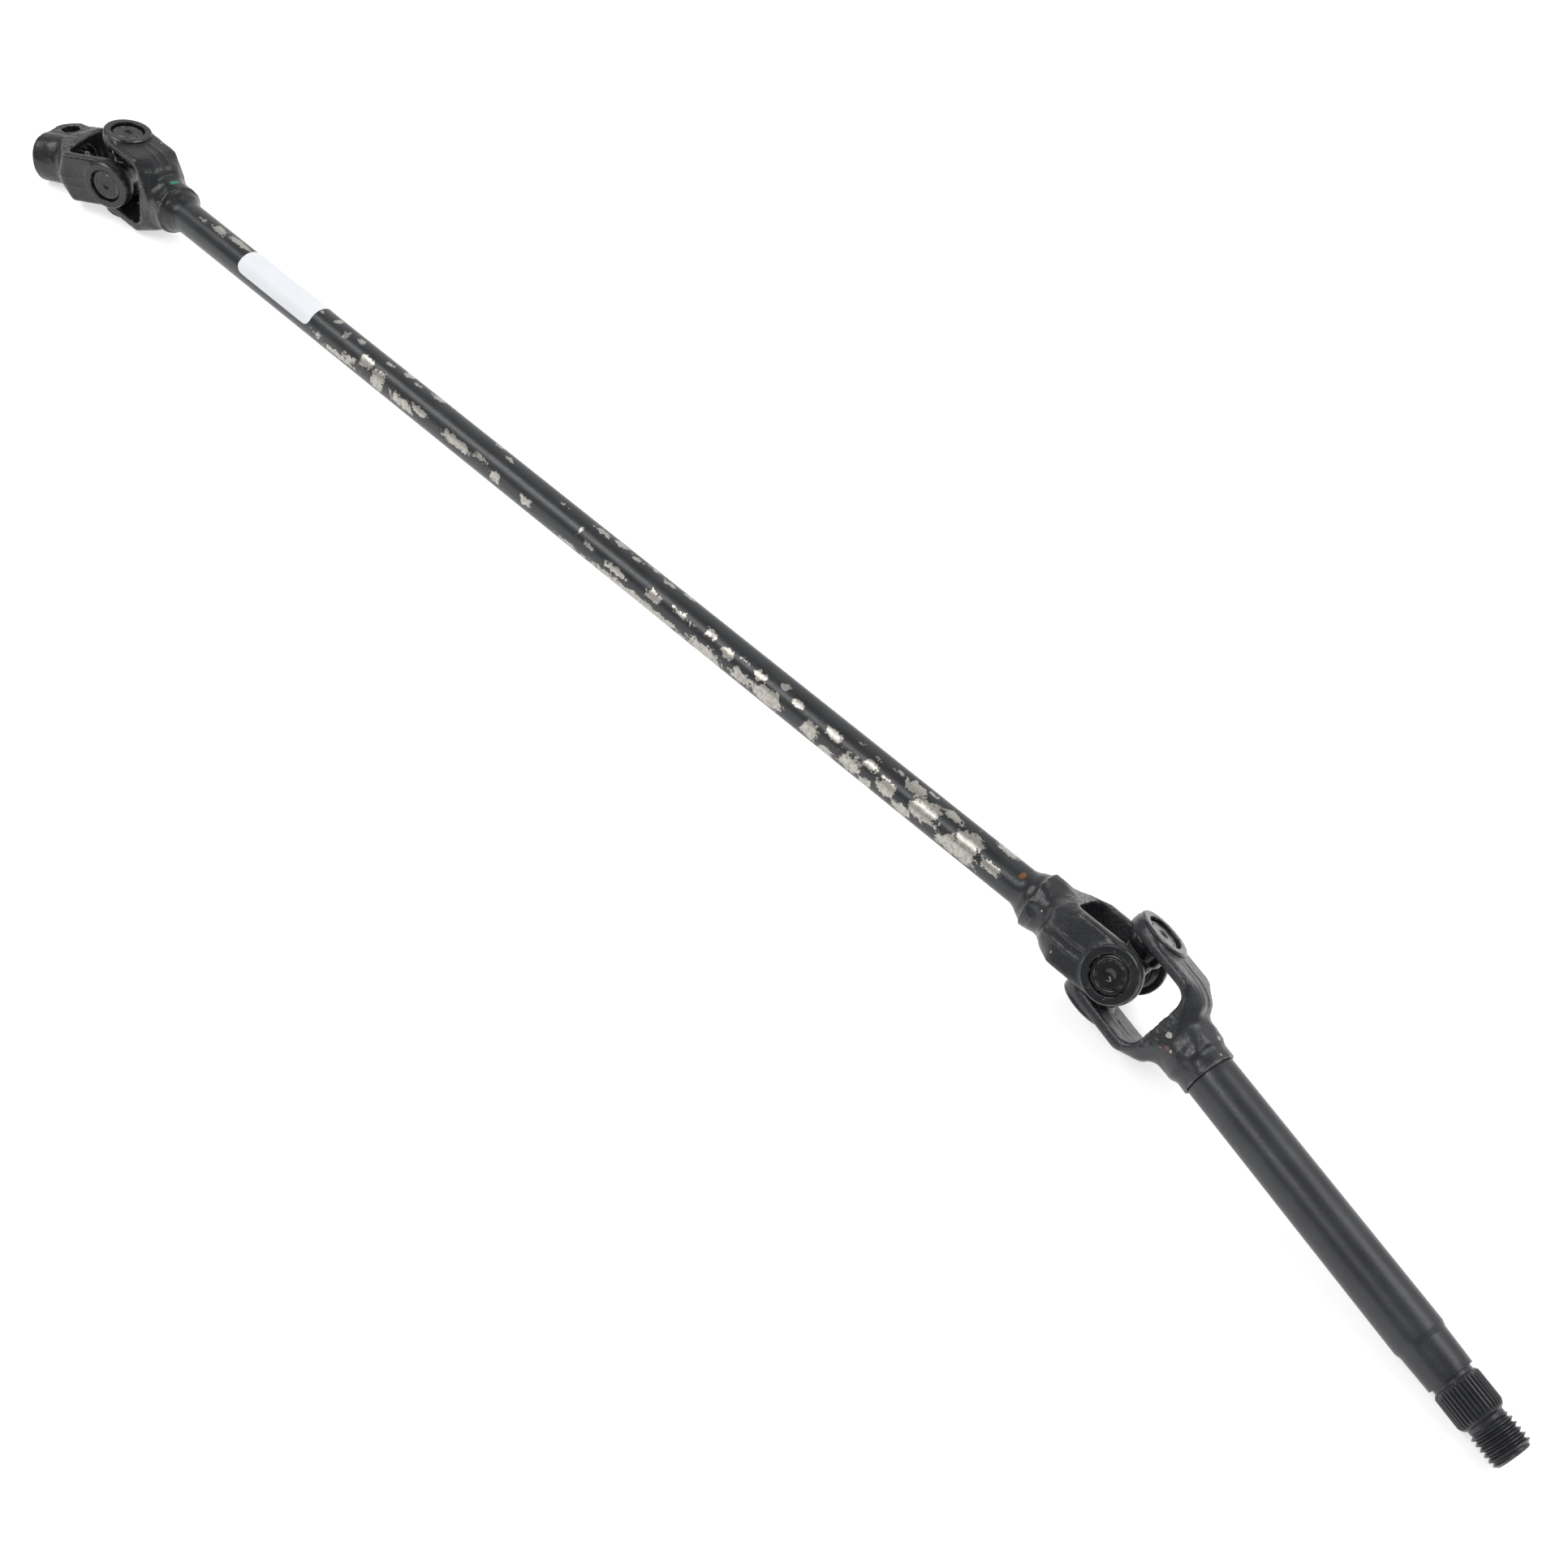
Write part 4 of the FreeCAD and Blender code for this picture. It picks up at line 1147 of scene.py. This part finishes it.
def thread_tree():
    """A right-handed thread: a trapezoid section swept along a helix round Z."""
    inputs = [
        ("Turns", "NodeSocketFloat"),
        ("Radius", "NodeSocketFloat"),
        ("Length", "NodeSocketFloat"),
        ("Root width", "NodeSocketFloat"),
        ("Crest width", "NodeSocketFloat"),
        ("Depth", "NodeSocketFloat"),
        ("Start", "NodeSocketVector"),
        ("Finish", "NodeSocketMaterial"),
    ]
    tree, start, end = new_tree("Screw thread", inputs)
    helix = place_node(tree, "GeometryNodeCurveSpiral", inputs={
        "Resolution": 96,
        "Rotations": start.outputs["Turns"],
        "Start Radius": start.outputs["Radius"],
        "End Radius": start.outputs["Radius"],
        "Height": start.outputs["Length"],
    })
    upright = place_node(tree, "GeometryNodeSetCurveNormal", {"mode": "Z_UP"}, {
        "Curve": helix.outputs[0],
    })
    section = trapezoid(tree, start, "Crest width")
    turned = place_node(tree, "GeometryNodeTransform", inputs={
        "Geometry": section.outputs[0], "Rotation": (0.0, 0.0, math.radians(90.0)),
    })
    ridge = place_node(tree, "GeometryNodeCurveToMesh", inputs={
        "Curve": upright.outputs[0], "Profile Curve": turned.outputs[0], "Fill Caps": True,
    })
    moved = place_node(tree, "GeometryNodeTransform", inputs={
        "Geometry": ridge.outputs[0], "Translation": start.outputs["Start"],
    })
    end_tree(tree, moved.outputs[0], start, end)
    return tree


def grown_piece(name, tree, values, limits):
    """Grows teeth or turns on the column shaft, kept within the outline of the solid."""
    mesh = grown_mesh(name, tree, {**values, "Finish": finish_named("painted_column")})
    tidy_normals(mesh)
    points = draw_in(coordinates(mesh), limits)
    points[:, 2] = np.clip(points[:, 2], limits[0][0], limits[-1][0])
    set_coordinates(mesh, points)
    return mesh


# Finishes.

def per_mm(wavelength):
    """The scale of a texture whose features are about this many millimetres across."""
    return 1.0 / (wavelength * MM)


class Finish:
    """A material under construction, with shorthand for the nodes used here."""

    def __init__(self, name):
        self.material = bpy.data.materials.new(name)
        self.material.use_nodes = True
        self.tree = self.material.node_tree
        self.tree.nodes.clear()
        self.coat = self.add("ShaderNodeBsdfPrincipled")
        out = self.add("ShaderNodeOutputMaterial")
        self.tree.links.new(self.coat.outputs[0], out.inputs["Surface"])
        self.place = self.add("ShaderNodeTexCoord").outputs["Object"]

    def add(self, kind, settings=None, inputs=None):
        """Adds a node."""
        return place_node(self.tree, kind, settings, inputs)

    def turned_place(self, matrix, stretch):
        """Object coordinates in a yoke's own axes, stretched along them."""
        turn = matrix.to_3x3().normalized().transposed()
        spot = self.add("ShaderNodeMapping", {"vector_type": "POINT"}, {
            "Vector": self.place,
            "Rotation": turn.to_euler(),
            "Location": turn @ -matrix.translation,
        }).outputs[0]
        return self.add("ShaderNodeVectorMath", {"operation": "MULTIPLY"}, {
            0: spot, 1: stretch,
        }).outputs[0]

    def grain(self, wavelength, detail=4.0, rough=0.55, vector=None):
        """Noise with features about this many millimetres across."""
        return self.add("ShaderNodeTexNoise", None, {
            "Vector": vector or self.place,
            "Scale": per_mm(wavelength),
            "Detail": detail,
            "Roughness": rough,
        }).outputs["Fac"]

    def field(self, name):
        """A field written on the vertices."""
        return self.add("ShaderNodeAttribute", {"attribute_name": name}).outputs["Fac"]

    def math(self, operation, *values):
        """Arithmetic on two or three values or sockets."""
        return self.add("ShaderNodeMath", {"operation": operation},
                        dict(enumerate(values))).outputs[0]

    def ramp(self, value, low, high, out_low=0.0, out_high=1.0):
        """A soft step from one output to the other between two levels of a value."""
        return self.add("ShaderNodeMapRange", {"interpolation_type": "SMOOTHSTEP"}, {
            "Value": value, "From Min": low, "From Max": high,
            "To Min": out_low, "To Max": out_high,
        }).outputs["Result"]

    def mix(self, share, first, second):
        """Mixes two colours."""
        first, second = [
            value if isinstance(value, bpy.types.NodeSocket) else (*value[:3], 1.0)
            for value in (first, second)
        ]
        return self.add("ShaderNodeMix", {"data_type": "RGBA"}, {
            0: share, 6: first, 7: second,
        }).outputs[2]

    def mix_value(self, share, first, second):
        """Mixes two numbers."""
        return self.add("ShaderNodeMix", {"data_type": "FLOAT"}, {
            0: share, 2: first, 3: second,
        }).outputs[0]

    def shades(self, noise_level, low, high, colour, dark, light):
        """A colour that noise takes from a darker to a lighter share of itself."""
        share = self.ramp(noise_level, low, high)
        return self.mix(share, scaled(colour, dark), scaled(colour, light))

    def ragged(self, name, wavelength, detail, share):
        """A field with noise added, so that its edge comes out ragged."""
        field = self.field(name)
        return self.math("ADD", field, self.math("MULTIPLY", self.grain(wavelength, detail), share))

    def bump(self, height, distance, below=None):
        """A relief of this many millimetres, over the one below it."""
        made = self.add("ShaderNodeBump", None, {"Height": height, "Distance": distance * MM})
        if below is not None:
            self.tree.links.new(below, made.inputs["Normal"])
        return made.outputs[0]

    def set(self, name, value):
        """Feeds an input of the coat."""
        feed(self.tree, self.coat.inputs[name], value)


def scaled(colour, share):
    """A lighter or darker share of a colour."""
    return tuple(part * share for part in colour[:3])


def forging_finish(colours):
    """Old black paint over forged steel: rubbed edges lightened further by a painted highlight, small chips and
    fine scale.
    """
    made = Finish("painted_forging")
    broad = made.grain(9.0, 3.0)
    fine = made.grain(0.9, 5.0, 0.65)
    colour = made.shades(broad, 0.35, 0.65, colours.forging, 0.75, 1.35)
    pale = made.shades(broad, 0.35, 0.65, colours.column, 0.85, 1.2)
    colour = made.mix(made.field("pale"), colour, pale)
    # Edges lighter grey: rubbed paint, with a painted highlight along them.
    rubbed_and_sheen = made.math("MULTIPLY", made.field("wear_and_highlight"), made.ramp(made.grain(3.2, 5.0), 0.35, 0.68))
    colour = made.mix(made.ramp(rubbed_and_sheen, 0.15, 0.8, 0.0, 0.8), colour, (0.17, 0.172, 0.17))
    flakes = made.ramp(made.ragged("chip", 1.4, 4.0, 0.7), 0.80, 0.86)
    edge_flakes = made.math("MULTIPLY", made.field("wear_and_highlight"), made.grain(2.1, 6.0, 0.7))
    edge_flakes = made.ramp(edge_flakes, 0.60, 0.66)
    flakes = made.math("MAXIMUM", flakes, edge_flakes)
    colour = made.mix(flakes, colour, colours.bare)
    rust = made.ragged("rust", 1.2, 4.0, 0.6)
    colour = made.mix(made.ramp(rust, 0.72, 0.95, 0.0, 0.8), colour, colours.rust)
    mark = made.ragged("green", 1.1, 3.0, 0.5)
    colour = made.mix(made.ramp(mark, 0.95, 1.15), colour, colours.paint_mark)
    made.set("Base Color", colour)
    gloss = made.field("gloss")
    rough = made.mix_value(gloss, made.ramp(fine, 0.3, 0.7, 0.24, 0.40), 0.2)
    made.set("Roughness", made.mix_value(flakes, rough, 0.42))
    made.set("Metallic", made.math("MULTIPLY", flakes, 0.45))
    rugged = made.math("SUBTRACT", 1.0, made.math("MULTIPLY", gloss, 0.85))
    scale = made.bump(made.math("MULTIPLY", fine, rugged), 0.075)
    scale = made.bump(made.math("MULTIPLY", made.grain(2.6, 3.0), rugged), 0.08, scale)
    made.set("Normal", made.bump(made.math("SUBTRACT", 1.0, flakes), 0.08, scale))
    return made.material


def shaft_finish(colours):
    """Black paint on drawn bar, chipped down to bare steel in many places."""
    made = Finish("painted_shaft")
    drawn = made.turned_place(AXES["upper_shaft_yoke"].matrix, (1.0, 1.0, 0.06))
    streak = made.grain(1.2, 4.0, 0.6, drawn)
    cloud = made.grain(14.0, 4.0)
    fine = made.grain(0.7, 4.0, 0.6)
    colour = made.shades(cloud, 0.35, 0.65, colours.shaft, 0.8, 1.2)
    colour = made.mix(made.ramp(streak, 0.45, 0.8, 0.0, 0.35), colour, scaled(colours.shaft, 1.9))
    ragged = made.math("SUBTRACT", made.grain(3.4, 9.0, 0.74), 0.5)
    finer = made.math("SUBTRACT", made.grain(1.5, 8.0, 0.8), 0.5)
    flakes = made.add("ShaderNodeTexVoronoi", None, {
        "Vector": made.place, "Scale": per_mm(1.5), "Randomness": 1.0,
    }).outputs["Color"]
    torn = made.math("MULTIPLY_ADD", ragged, 2.0, made.field("chip"))
    torn = made.math("MULTIPLY_ADD", finer, 1.4, torn)
    torn = made.math("MULTIPLY_ADD", made.math("SUBTRACT", flakes, 0.5), 0.45, torn)
    bare = made.ramp(torn, 0.08, 0.10)
    lip = made.ramp(torn, -0.15, 0.08)
    specks = made.ramp(made.grain(2.3, 6.0, 0.72), 0.745, 0.755)
    bare = made.math("MAXIMUM", bare, specks)
    mottle = made.grain(1.8, 5.0, 0.65)
    steel = made.shades(mottle, 0.3, 0.6, colours.bare, 0.86, 1.1)
    stain = made.ramp(made.grain(5.0, 4.0), 0.62, 0.75, 0.0, 0.22)
    steel = made.mix(stain, steel, colours.rust)
    pits = made.ramp(made.grain(1.6, 7.0, 0.75), 0.615, 0.635)
    steel = made.mix(made.math("MULTIPLY", pits, 0.85), steel, scaled(colours.shaft, 1.4))
    colour = made.mix(made.math("MULTIPLY", lip, 0.6), colour, scaled(colours.shaft, 0.3))
    colour = made.mix(bare, colour, steel)
    rust = made.math("MULTIPLY_ADD", ragged, 1.6, made.field("rust"))
    colour = made.mix(made.ramp(rust, 0.0, 0.35, 0.0, 0.9), colour, colours.rust)
    made.set("Base Color", colour)
    paint = made.ramp(fine, 0.3, 0.7, 0.27, 0.40)
    made.set("Roughness", made.mix_value(bare, paint, made.ramp(mottle, 0.3, 0.7, 0.22, 0.40)))
    made.set("Metallic", made.math("MULTIPLY", bare, made.ramp(mottle, 0.45, 0.6, 0.35, 0.9)))
    skin = made.bump(fine, 0.03)
    skin = made.bump(streak, 0.03, skin)
    made.set("Normal", made.bump(made.math("SUBTRACT", 1.0, bare), 0.10, skin))
    return made.material


def column_finish(colours):
    """Dark grey paint with faint stains and streaks along the shaft."""
    made = Finish("painted_column")
    drawn = made.turned_place(AXES["column_yoke"].matrix, (1.0, 1.0, 0.05))
    streak = made.grain(1.0, 5.0, 0.6, drawn)
    cloud = made.grain(18.0, 5.0, 0.6)
    fine = made.grain(0.6, 4.0, 0.6)
    colour = made.shades(cloud, 0.35, 0.68, colours.column, 0.82, 1.25)
    colour = made.mix(made.ramp(streak, 0.5, 0.85, 0.0, 0.4), colour, scaled(colours.column, 1.8))
    specks = made.ramp(made.grain(1.7, 6.0, 0.72), 0.765, 0.775)
    colour = made.mix(specks, colour, scaled(colours.bare, 0.7))
    made.set("Base Color", colour)
    made.set("Roughness", made.ramp(fine, 0.3, 0.7, 0.30, 0.42))
    skin = made.bump(fine, 0.025)
    made.set("Normal", made.bump(streak, 0.03, skin))
    return made.material


def cup_finish(colours):
    """Glossier black paint over the hardened cups."""
    made = Finish("painted_cup")
    fine = made.grain(0.5, 4.0, 0.6)
    cloud = made.grain(9.0, 2.0)
    colour = made.shades(cloud, 0.35, 0.7, colours.forging, 0.55, 0.8)
    # Ring edges and the rim lighter grey: painted highlights.
    rubbed_and_sheen = made.math("MULTIPLY", made.field("wear_and_highlight"), made.ramp(made.grain(2.2, 5.0), 0.38, 0.6))
    colour = made.mix(made.math("MULTIPLY", rubbed_and_sheen, 0.75), colour, (0.30, 0.30, 0.29))
    made.set("Base Color", colour)
    made.set("Roughness", made.ramp(cloud, 0.3, 0.7, 0.14, 0.24))
    made.set("Normal", made.bump(fine, 0.002))
    return made.material


def cross_finish(colours):
    """Oily dark forged steel of the crosses, with ground journals."""
    made = Finish("cross_steel")
    cloud = made.grain(2.8, 5.0)
    fine = made.grain(0.5, 4.0)
    made.set("Base Color", made.mix(made.ramp(cloud, 0.35, 0.7), (0.05, 0.05, 0.05),
                                    (0.16, 0.155, 0.15)))
    made.set("Metallic", 0.7)
    made.set("Roughness", made.ramp(fine, 0.3, 0.7, 0.26, 0.42))
    made.set("Normal", made.bump(fine, 0.03))
    return made.material


def needle_finish(colours):
    """Bright ground steel of the needle rollers."""
    made = Finish("needle_steel")
    cloud = made.grain(2.0, 4.0)
    made.set("Base Color", made.mix(made.ramp(cloud, 0.3, 0.7), (0.45, 0.45, 0.44),
                                    (0.62, 0.62, 0.60)))
    made.set("Metallic", 0.95)
    made.set("Roughness", made.ramp(cloud, 0.3, 0.7, 0.2, 0.3))
    made.set("Normal", made.bump(made.grain(0.4, 3.0), 0.01))
    return made.material


def seal_finish(colours):
    """Black rubber with a film of oil and dust."""
    made = Finish("seal_rubber")
    cloud = made.grain(1.6, 5.0)
    made.set("Base Color", made.mix(made.ramp(cloud, 0.4, 0.75), (0.012, 0.012, 0.013),
                                    (0.06, 0.058, 0.055)))
    made.set("Roughness", made.ramp(cloud, 0.3, 0.7, 0.30, 0.5))
    made.set("Normal", made.bump(made.grain(0.4, 4.0), 0.03))
    return made.material


def label_finish(colours):
    """White self-adhesive film, slightly soiled and wrinkled."""
    made = Finish("label_paper")
    cloud = made.grain(12.0, 4.0)
    speck = made.ramp(made.grain(1.2, 6.0, 0.7), 0.74, 0.78, 0.0, 0.5)
    colour = made.mix(made.ramp(cloud, 0.35, 0.7), scaled(colours.label, 0.97), colours.label)
    colour = made.mix(speck, colour, (0.45, 0.44, 0.42))
    made.set("Base Color", colour)
    made.set("Roughness", made.ramp(cloud, 0.3, 0.7, 0.42, 0.55))
    wrinkle = made.grain(5.0, 2.0)
    made.set("Normal", made.bump(wrinkle, 0.05, made.bump(made.grain(0.4, 3.0), 0.01)))
    return made.material


def finish_named(name):
    """The material of this name, made when it is first asked for."""
    makers = {
        "painted_forging": forging_finish,
        "painted_shaft": shaft_finish,
        "painted_column": column_finish,
        "painted_cup": cup_finish,
        "cross_steel": cross_finish,
        "needle_steel": needle_finish,
        "seal_rubber": seal_finish,
        "label_paper": label_finish,
    }
    label = "Shaft " + name
    found = bpy.data.materials.get(label)
    if found is None:
        found = makers[name](bpy.context.scene.steering_shaft.finish)
        found.name = label
    return found


# Operators.

class STEERING_OT_forged_yokes(bpy.types.Operator):
    """Builds the forged skins and machined rings of the four yokes"""

    bl_idname = "steering.forged_yokes"
    bl_label = "Forged yokes"

    def execute(self, context):
        settings = context.scene.steering_shaft
        for node in AXES:
            forge_yoke(node, settings.forging, settings.bearing)
        return {"FINISHED"}


class STEERING_OT_bearings(bpy.types.Operator):
    """Builds the bearing cups and the seals, and finishes the needles"""

    bl_idname = "steering.bearings"
    bl_label = "Bearings"

    def execute(self, context):
        settings = context.scene.steering_shaft.bearing
        for node in AXES:
            for side, sign in (("a", 1), ("b", -1)):
                matrix = outward(node, sign)
                turned_piece("%s_cup_%s" % (node, side), cup_profile(settings), matrix, 96,
                             BODIES[node], "painted_cup", worn_and_highlight_radii=CUP_WORN_AND_HIGHLIGHT_RADII)
                turned_piece("%s_seal_%s" % (node, side), seal_profile(settings), matrix, 64,
                             CROSS_BODIES[node], "seal_rubber")
                needles = frame["nodes"]["%s_needles_%s" % (node, side)]
                for place in needles.material_slots:
                    place.material = finish_named("needle_steel")
        return {"FINISHED"}


class STEERING_OT_crosses(bpy.types.Operator):
    """Builds the two forged crosses"""

    bl_idname = "steering.crosses"
    bl_label = "Crosses"

    def execute(self, context):
        yokes = {"upper_cross": "upper_shaft_yoke", "lower_cross": "lower_shaft_yoke"}
        for node, yoke in yokes.items():
            matrix = AXES[yoke].matrix
            mesh = rebuild(node, matrix, 0.4)
            even = np.ones(len(mesh.vertices))
            relax(mesh, even, 0.3 * even, 4)
            finished(mesh, node + "_forging", CROSS_BODIES[yoke], "cross_steel", [node],
                     matrix, 50)
        return {"FINISHED"}


class STEERING_OT_long_bar(bpy.types.Operator):
    """Builds the long shaft with its chipped paint"""

    bl_idname = "steering.long_bar"
    bl_label = "Long shaft"

    def execute(self, context):
        long_bar(context.scene.steering_shaft.bars)
        return {"FINISHED"}


class STEERING_OT_blank_label(bpy.types.Operator):
    """Wraps the blank label round the long shaft"""

    bl_idname = "steering.blank_label"
    bl_label = "Blank label"

    def execute(self, context):
        blank_label(context.scene.steering_shaft.bars)
        return {"FINISHED"}


class STEERING_OT_column_bar(bpy.types.Operator):
    """Builds the turned column shaft"""

    bl_idname = "steering.column_bar"
    bl_label = "Column shaft"

    def execute(self, context):
        column_bar()
        return {"FINISHED"}


class STEERING_OT_spline(bpy.types.Operator):
    """Grows the spline teeth round the column shaft"""

    bl_idname = "steering.spline"
    bl_label = "Spline"

    def execute(self, context):
        settings = context.scene.steering_shaft.bars
        tip_radius = max(radius for height, radius in SPLINE_LIMIT)
        pitch = math.tau * tip_radius / settings.spline_teeth
        mesh = grown_piece("spline_teeth", spline_tree(), {
            "Teeth": settings.spline_teeth,
            "Root radius": 8.55,
            "Root width": pitch * 0.86,
            "Tip width": pitch * 0.34,
            "Depth": 0.9,
            "Start": (0.0, 0.0, SPLINE_LIMIT[0][0]),
            "End": (0.0, 0.0, SPLINE_LIMIT[-1][0]),
        }, SPLINE_LIMIT)
        finished(mesh, "spline_teeth", "column_end", "painted_column", ["column_shaft"],
                 AXES["column_yoke"].matrix, 35)
        return {"FINISHED"}


class STEERING_OT_thread(bpy.types.Operator):
    """Sweeps the thread round the tip of the column shaft"""

    bl_idname = "steering.thread"
    bl_label = "Tip thread"

    def execute(self, context):
        settings = context.scene.steering_shaft.bars
        start, end = 193.6, 206.6
        mesh = grown_piece("tip_thread", thread_tree(), {
            "Turns": (end - start) / settings.thread_pitch,
            "Radius": 7.25,
            "Length": end - start,
            "Root width": settings.thread_pitch * 0.94,
            "Crest width": settings.thread_pitch * 0.16,
            "Depth": 1.3,
            "Start": (0.0, 0.0, start),
        }, THREAD_LIMIT)
        finished(mesh, "tip_thread", "column_end", "painted_column", ["column_shaft"],
                 AXES["column_yoke"].matrix, 30)
        return {"FINISHED"}


# Where the photograph's right, down and forward directions point.
PHOTO_RIGHT = Vector((0.71991, 0.65402, 0.23234))
PHOTO_DOWN = Vector((0.59916, -0.41666, -0.68367))
PHOTO_AHEAD = Vector((-0.35033, 0.63139, -0.69182))

# Each lamp's place, what it faces, and its width and height, in metres.
TOP_LAMP = ((0.85, 0.55, 2.0), (0.2, 0.0, 0.0), (1.5, 0.9))
FRONT_LAMP = ((-0.75, -1.0, 1.25), (0.0, 0.0, 0.0), (1.7, 0.5))

# How strongly the floor shines for the camera, and the surround in front and behind.
FLOOR_GLOW = 0.62
FRONT_LEVEL = 0.27
BACK_LEVEL = 0.85


class STEERING_OT_stage(bpy.types.Operator):
    """Sets up the camera, the lamps, the floor and the white surround"""

    bl_idname = "steering.stage"
    bl_label = "Stage"

    def execute(self, context):
        settings = context.scene.steering_shaft.stage
        scene = context.scene
        eye = bpy.data.cameras.new("photo_camera")
        eye.sensor_width = 36.0
        eye.lens = settings.lens
        eye.clip_start = 0.01
        camera = bpy.data.objects.new("photo_camera", eye)
        turned = Matrix((PHOTO_RIGHT, -PHOTO_DOWN, -PHOTO_AHEAD)).transposed().to_4x4()
        camera.matrix_world = Matrix.Translation(Vector(settings.camera_place)) @ turned
        scene.collection.objects.link(camera)
        scene.camera = camera

        side = settings.floor_side / 2
        mesh = mesh_from("floor", [(-side, -side, 0), (side, -side, 0), (side, side, 0),
                                   (-side, side, 0)], [(0, 1, 2, 3)])
        mesh.materials.append(floor_finish())
        link_mesh("floor", mesh)

        lamp("top_lamp", settings.top_lamp, *TOP_LAMP)
        lamp("front_lamp", settings.front_lamp, *FRONT_LAMP)
        surround(scene)
        scene.view_settings.view_transform = "Standard"
        return {"FINISHED"}


def lamp(name, power, place, target, size):
    """A rectangular lamp that faces a target, its long side level."""
    light = bpy.data.lights.new(name, "AREA")
    light.shape = "RECTANGLE"
    light.size, light.size_y = size
    light.energy = power
    made = bpy.data.objects.new(name, light)
    made.location = place
    way = Vector(target) - Vector(place)
    made.rotation_euler = way.to_track_quat("-Z", "Y").to_euler()
    bpy.context.scene.collection.objects.link(made)


def floor_finish():
    """A white floor that the camera sees nearly white, with the object's soft shadow."""
    material = bpy.data.materials.new("white floor")
    material.use_nodes = True
    tree = material.node_tree
    tree.nodes.clear()
    out = place_node(tree, "ShaderNodeOutputMaterial")
    path = place_node(tree, "ShaderNodeLightPath")
    seen = place_node(tree, "ShaderNodeMath", {"operation": "MAXIMUM"}, {
        0: path.outputs["Is Camera Ray"], 1: path.outputs["Is Glossy Ray"],
    }).outputs[0]
    white = place_node(tree, "ShaderNodeBsdfDiffuse", None, {"Color": (0.86, 0.86, 0.86, 1.0)})
    dim = place_node(tree, "ShaderNodeMath", {"operation": "MULTIPLY"}, {
        0: seen, 1: FLOOR_GLOW,
    })
    glow = place_node(tree, "ShaderNodeEmission", None, {
        "Color": (1, 1, 1, 1), "Strength": dim.outputs[0],
    })
    both = place_node(tree, "ShaderNodeAddShader")
    tree.links.new(white.outputs[0], both.inputs[0])
    tree.links.new(glow.outputs[0], both.inputs[1])
    tree.links.new(both.outputs[0], out.inputs["Surface"])
    return material


def surround(scene):
    """A white world for the camera, that lights the object softly and is darker in front."""
    world = bpy.data.worlds.new("white surround")
    world.use_nodes = True
    scene.world = world
    tree = world.node_tree
    tree.nodes.clear()
    out = place_node(tree, "ShaderNodeOutputWorld")
    path = place_node(tree, "ShaderNodeLightPath")
    way = place_node(tree, "ShaderNodeTexCoord").outputs["Generated"]
    back = place_node(tree, "ShaderNodeVectorMath", {"operation": "DOT_PRODUCT"}, {
        0: way, 1: (-0.1, 0.95, 0.0),
    }).outputs["Value"]
    level = place_node(tree, "ShaderNodeMapRange", {"interpolation_type": "SMOOTHSTEP"}, {
        "Value": back, "From Min": 0.05, "From Max": 0.65,
        "To Min": FRONT_LEVEL, "To Max": BACK_LEVEL,
    }).outputs["Result"]
    strength = place_node(tree, "ShaderNodeMix", {"data_type": "FLOAT"}, {
        0: path.outputs["Is Camera Ray"], 2: level, 3: 1.0,
    }).outputs[0]
    glow = place_node(tree, "ShaderNodeBackground", None, {
        "Color": (1, 1, 1, 1), "Strength": strength,
    })
    tree.links.new(glow.outputs[0], out.inputs["Surface"])


class STEERING_PT_panel(bpy.types.Panel):
    """Lists the steps that dress the steering shaft"""

    bl_idname = "STEERING_PT_panel"
    bl_label = "Steering shaft"
    bl_space_type = "VIEW_3D"
    bl_region_type = "UI"
    bl_category = "Steering shaft"

    def draw(self, context):
        for step in STEPS:
            self.layout.operator(step.bl_idname)


STEPS = (
    STEERING_OT_forged_yokes,
    STEERING_OT_bearings,
    STEERING_OT_crosses,
    STEERING_OT_long_bar,
    STEERING_OT_blank_label,
    STEERING_OT_column_bar,
    STEERING_OT_spline,
    STEERING_OT_thread,
    STEERING_OT_stage,
)
GROUPS = (
    ForgingSettings,
    BearingSettings,
    BarSettings,
    FinishSettings,
    StageSettings,
    SteeringShaftSettings,
)


def register():
    for kind in GROUPS + STEPS + (STEERING_PT_panel,):
        bpy.utils.register_class(kind)
    bpy.types.Scene.steering_shaft = PointerProperty(type=SteeringShaftSettings)


def unregister():
    del bpy.types.Scene.steering_shaft
    for kind in reversed(GROUPS + STEPS + (STEERING_PT_panel,)):
        bpy.utils.unregister_class(kind)


def main():
    register()
    bpy.ops.steering.forged_yokes()
    bpy.ops.steering.bearings()
    bpy.ops.steering.crosses()
    bpy.ops.steering.long_bar()
    bpy.ops.steering.blank_label()
    bpy.ops.steering.column_bar()
    bpy.ops.steering.spline()
    bpy.ops.steering.thread()
    bpy.ops.steering.stage()


if __name__ == "__main__":
    main()
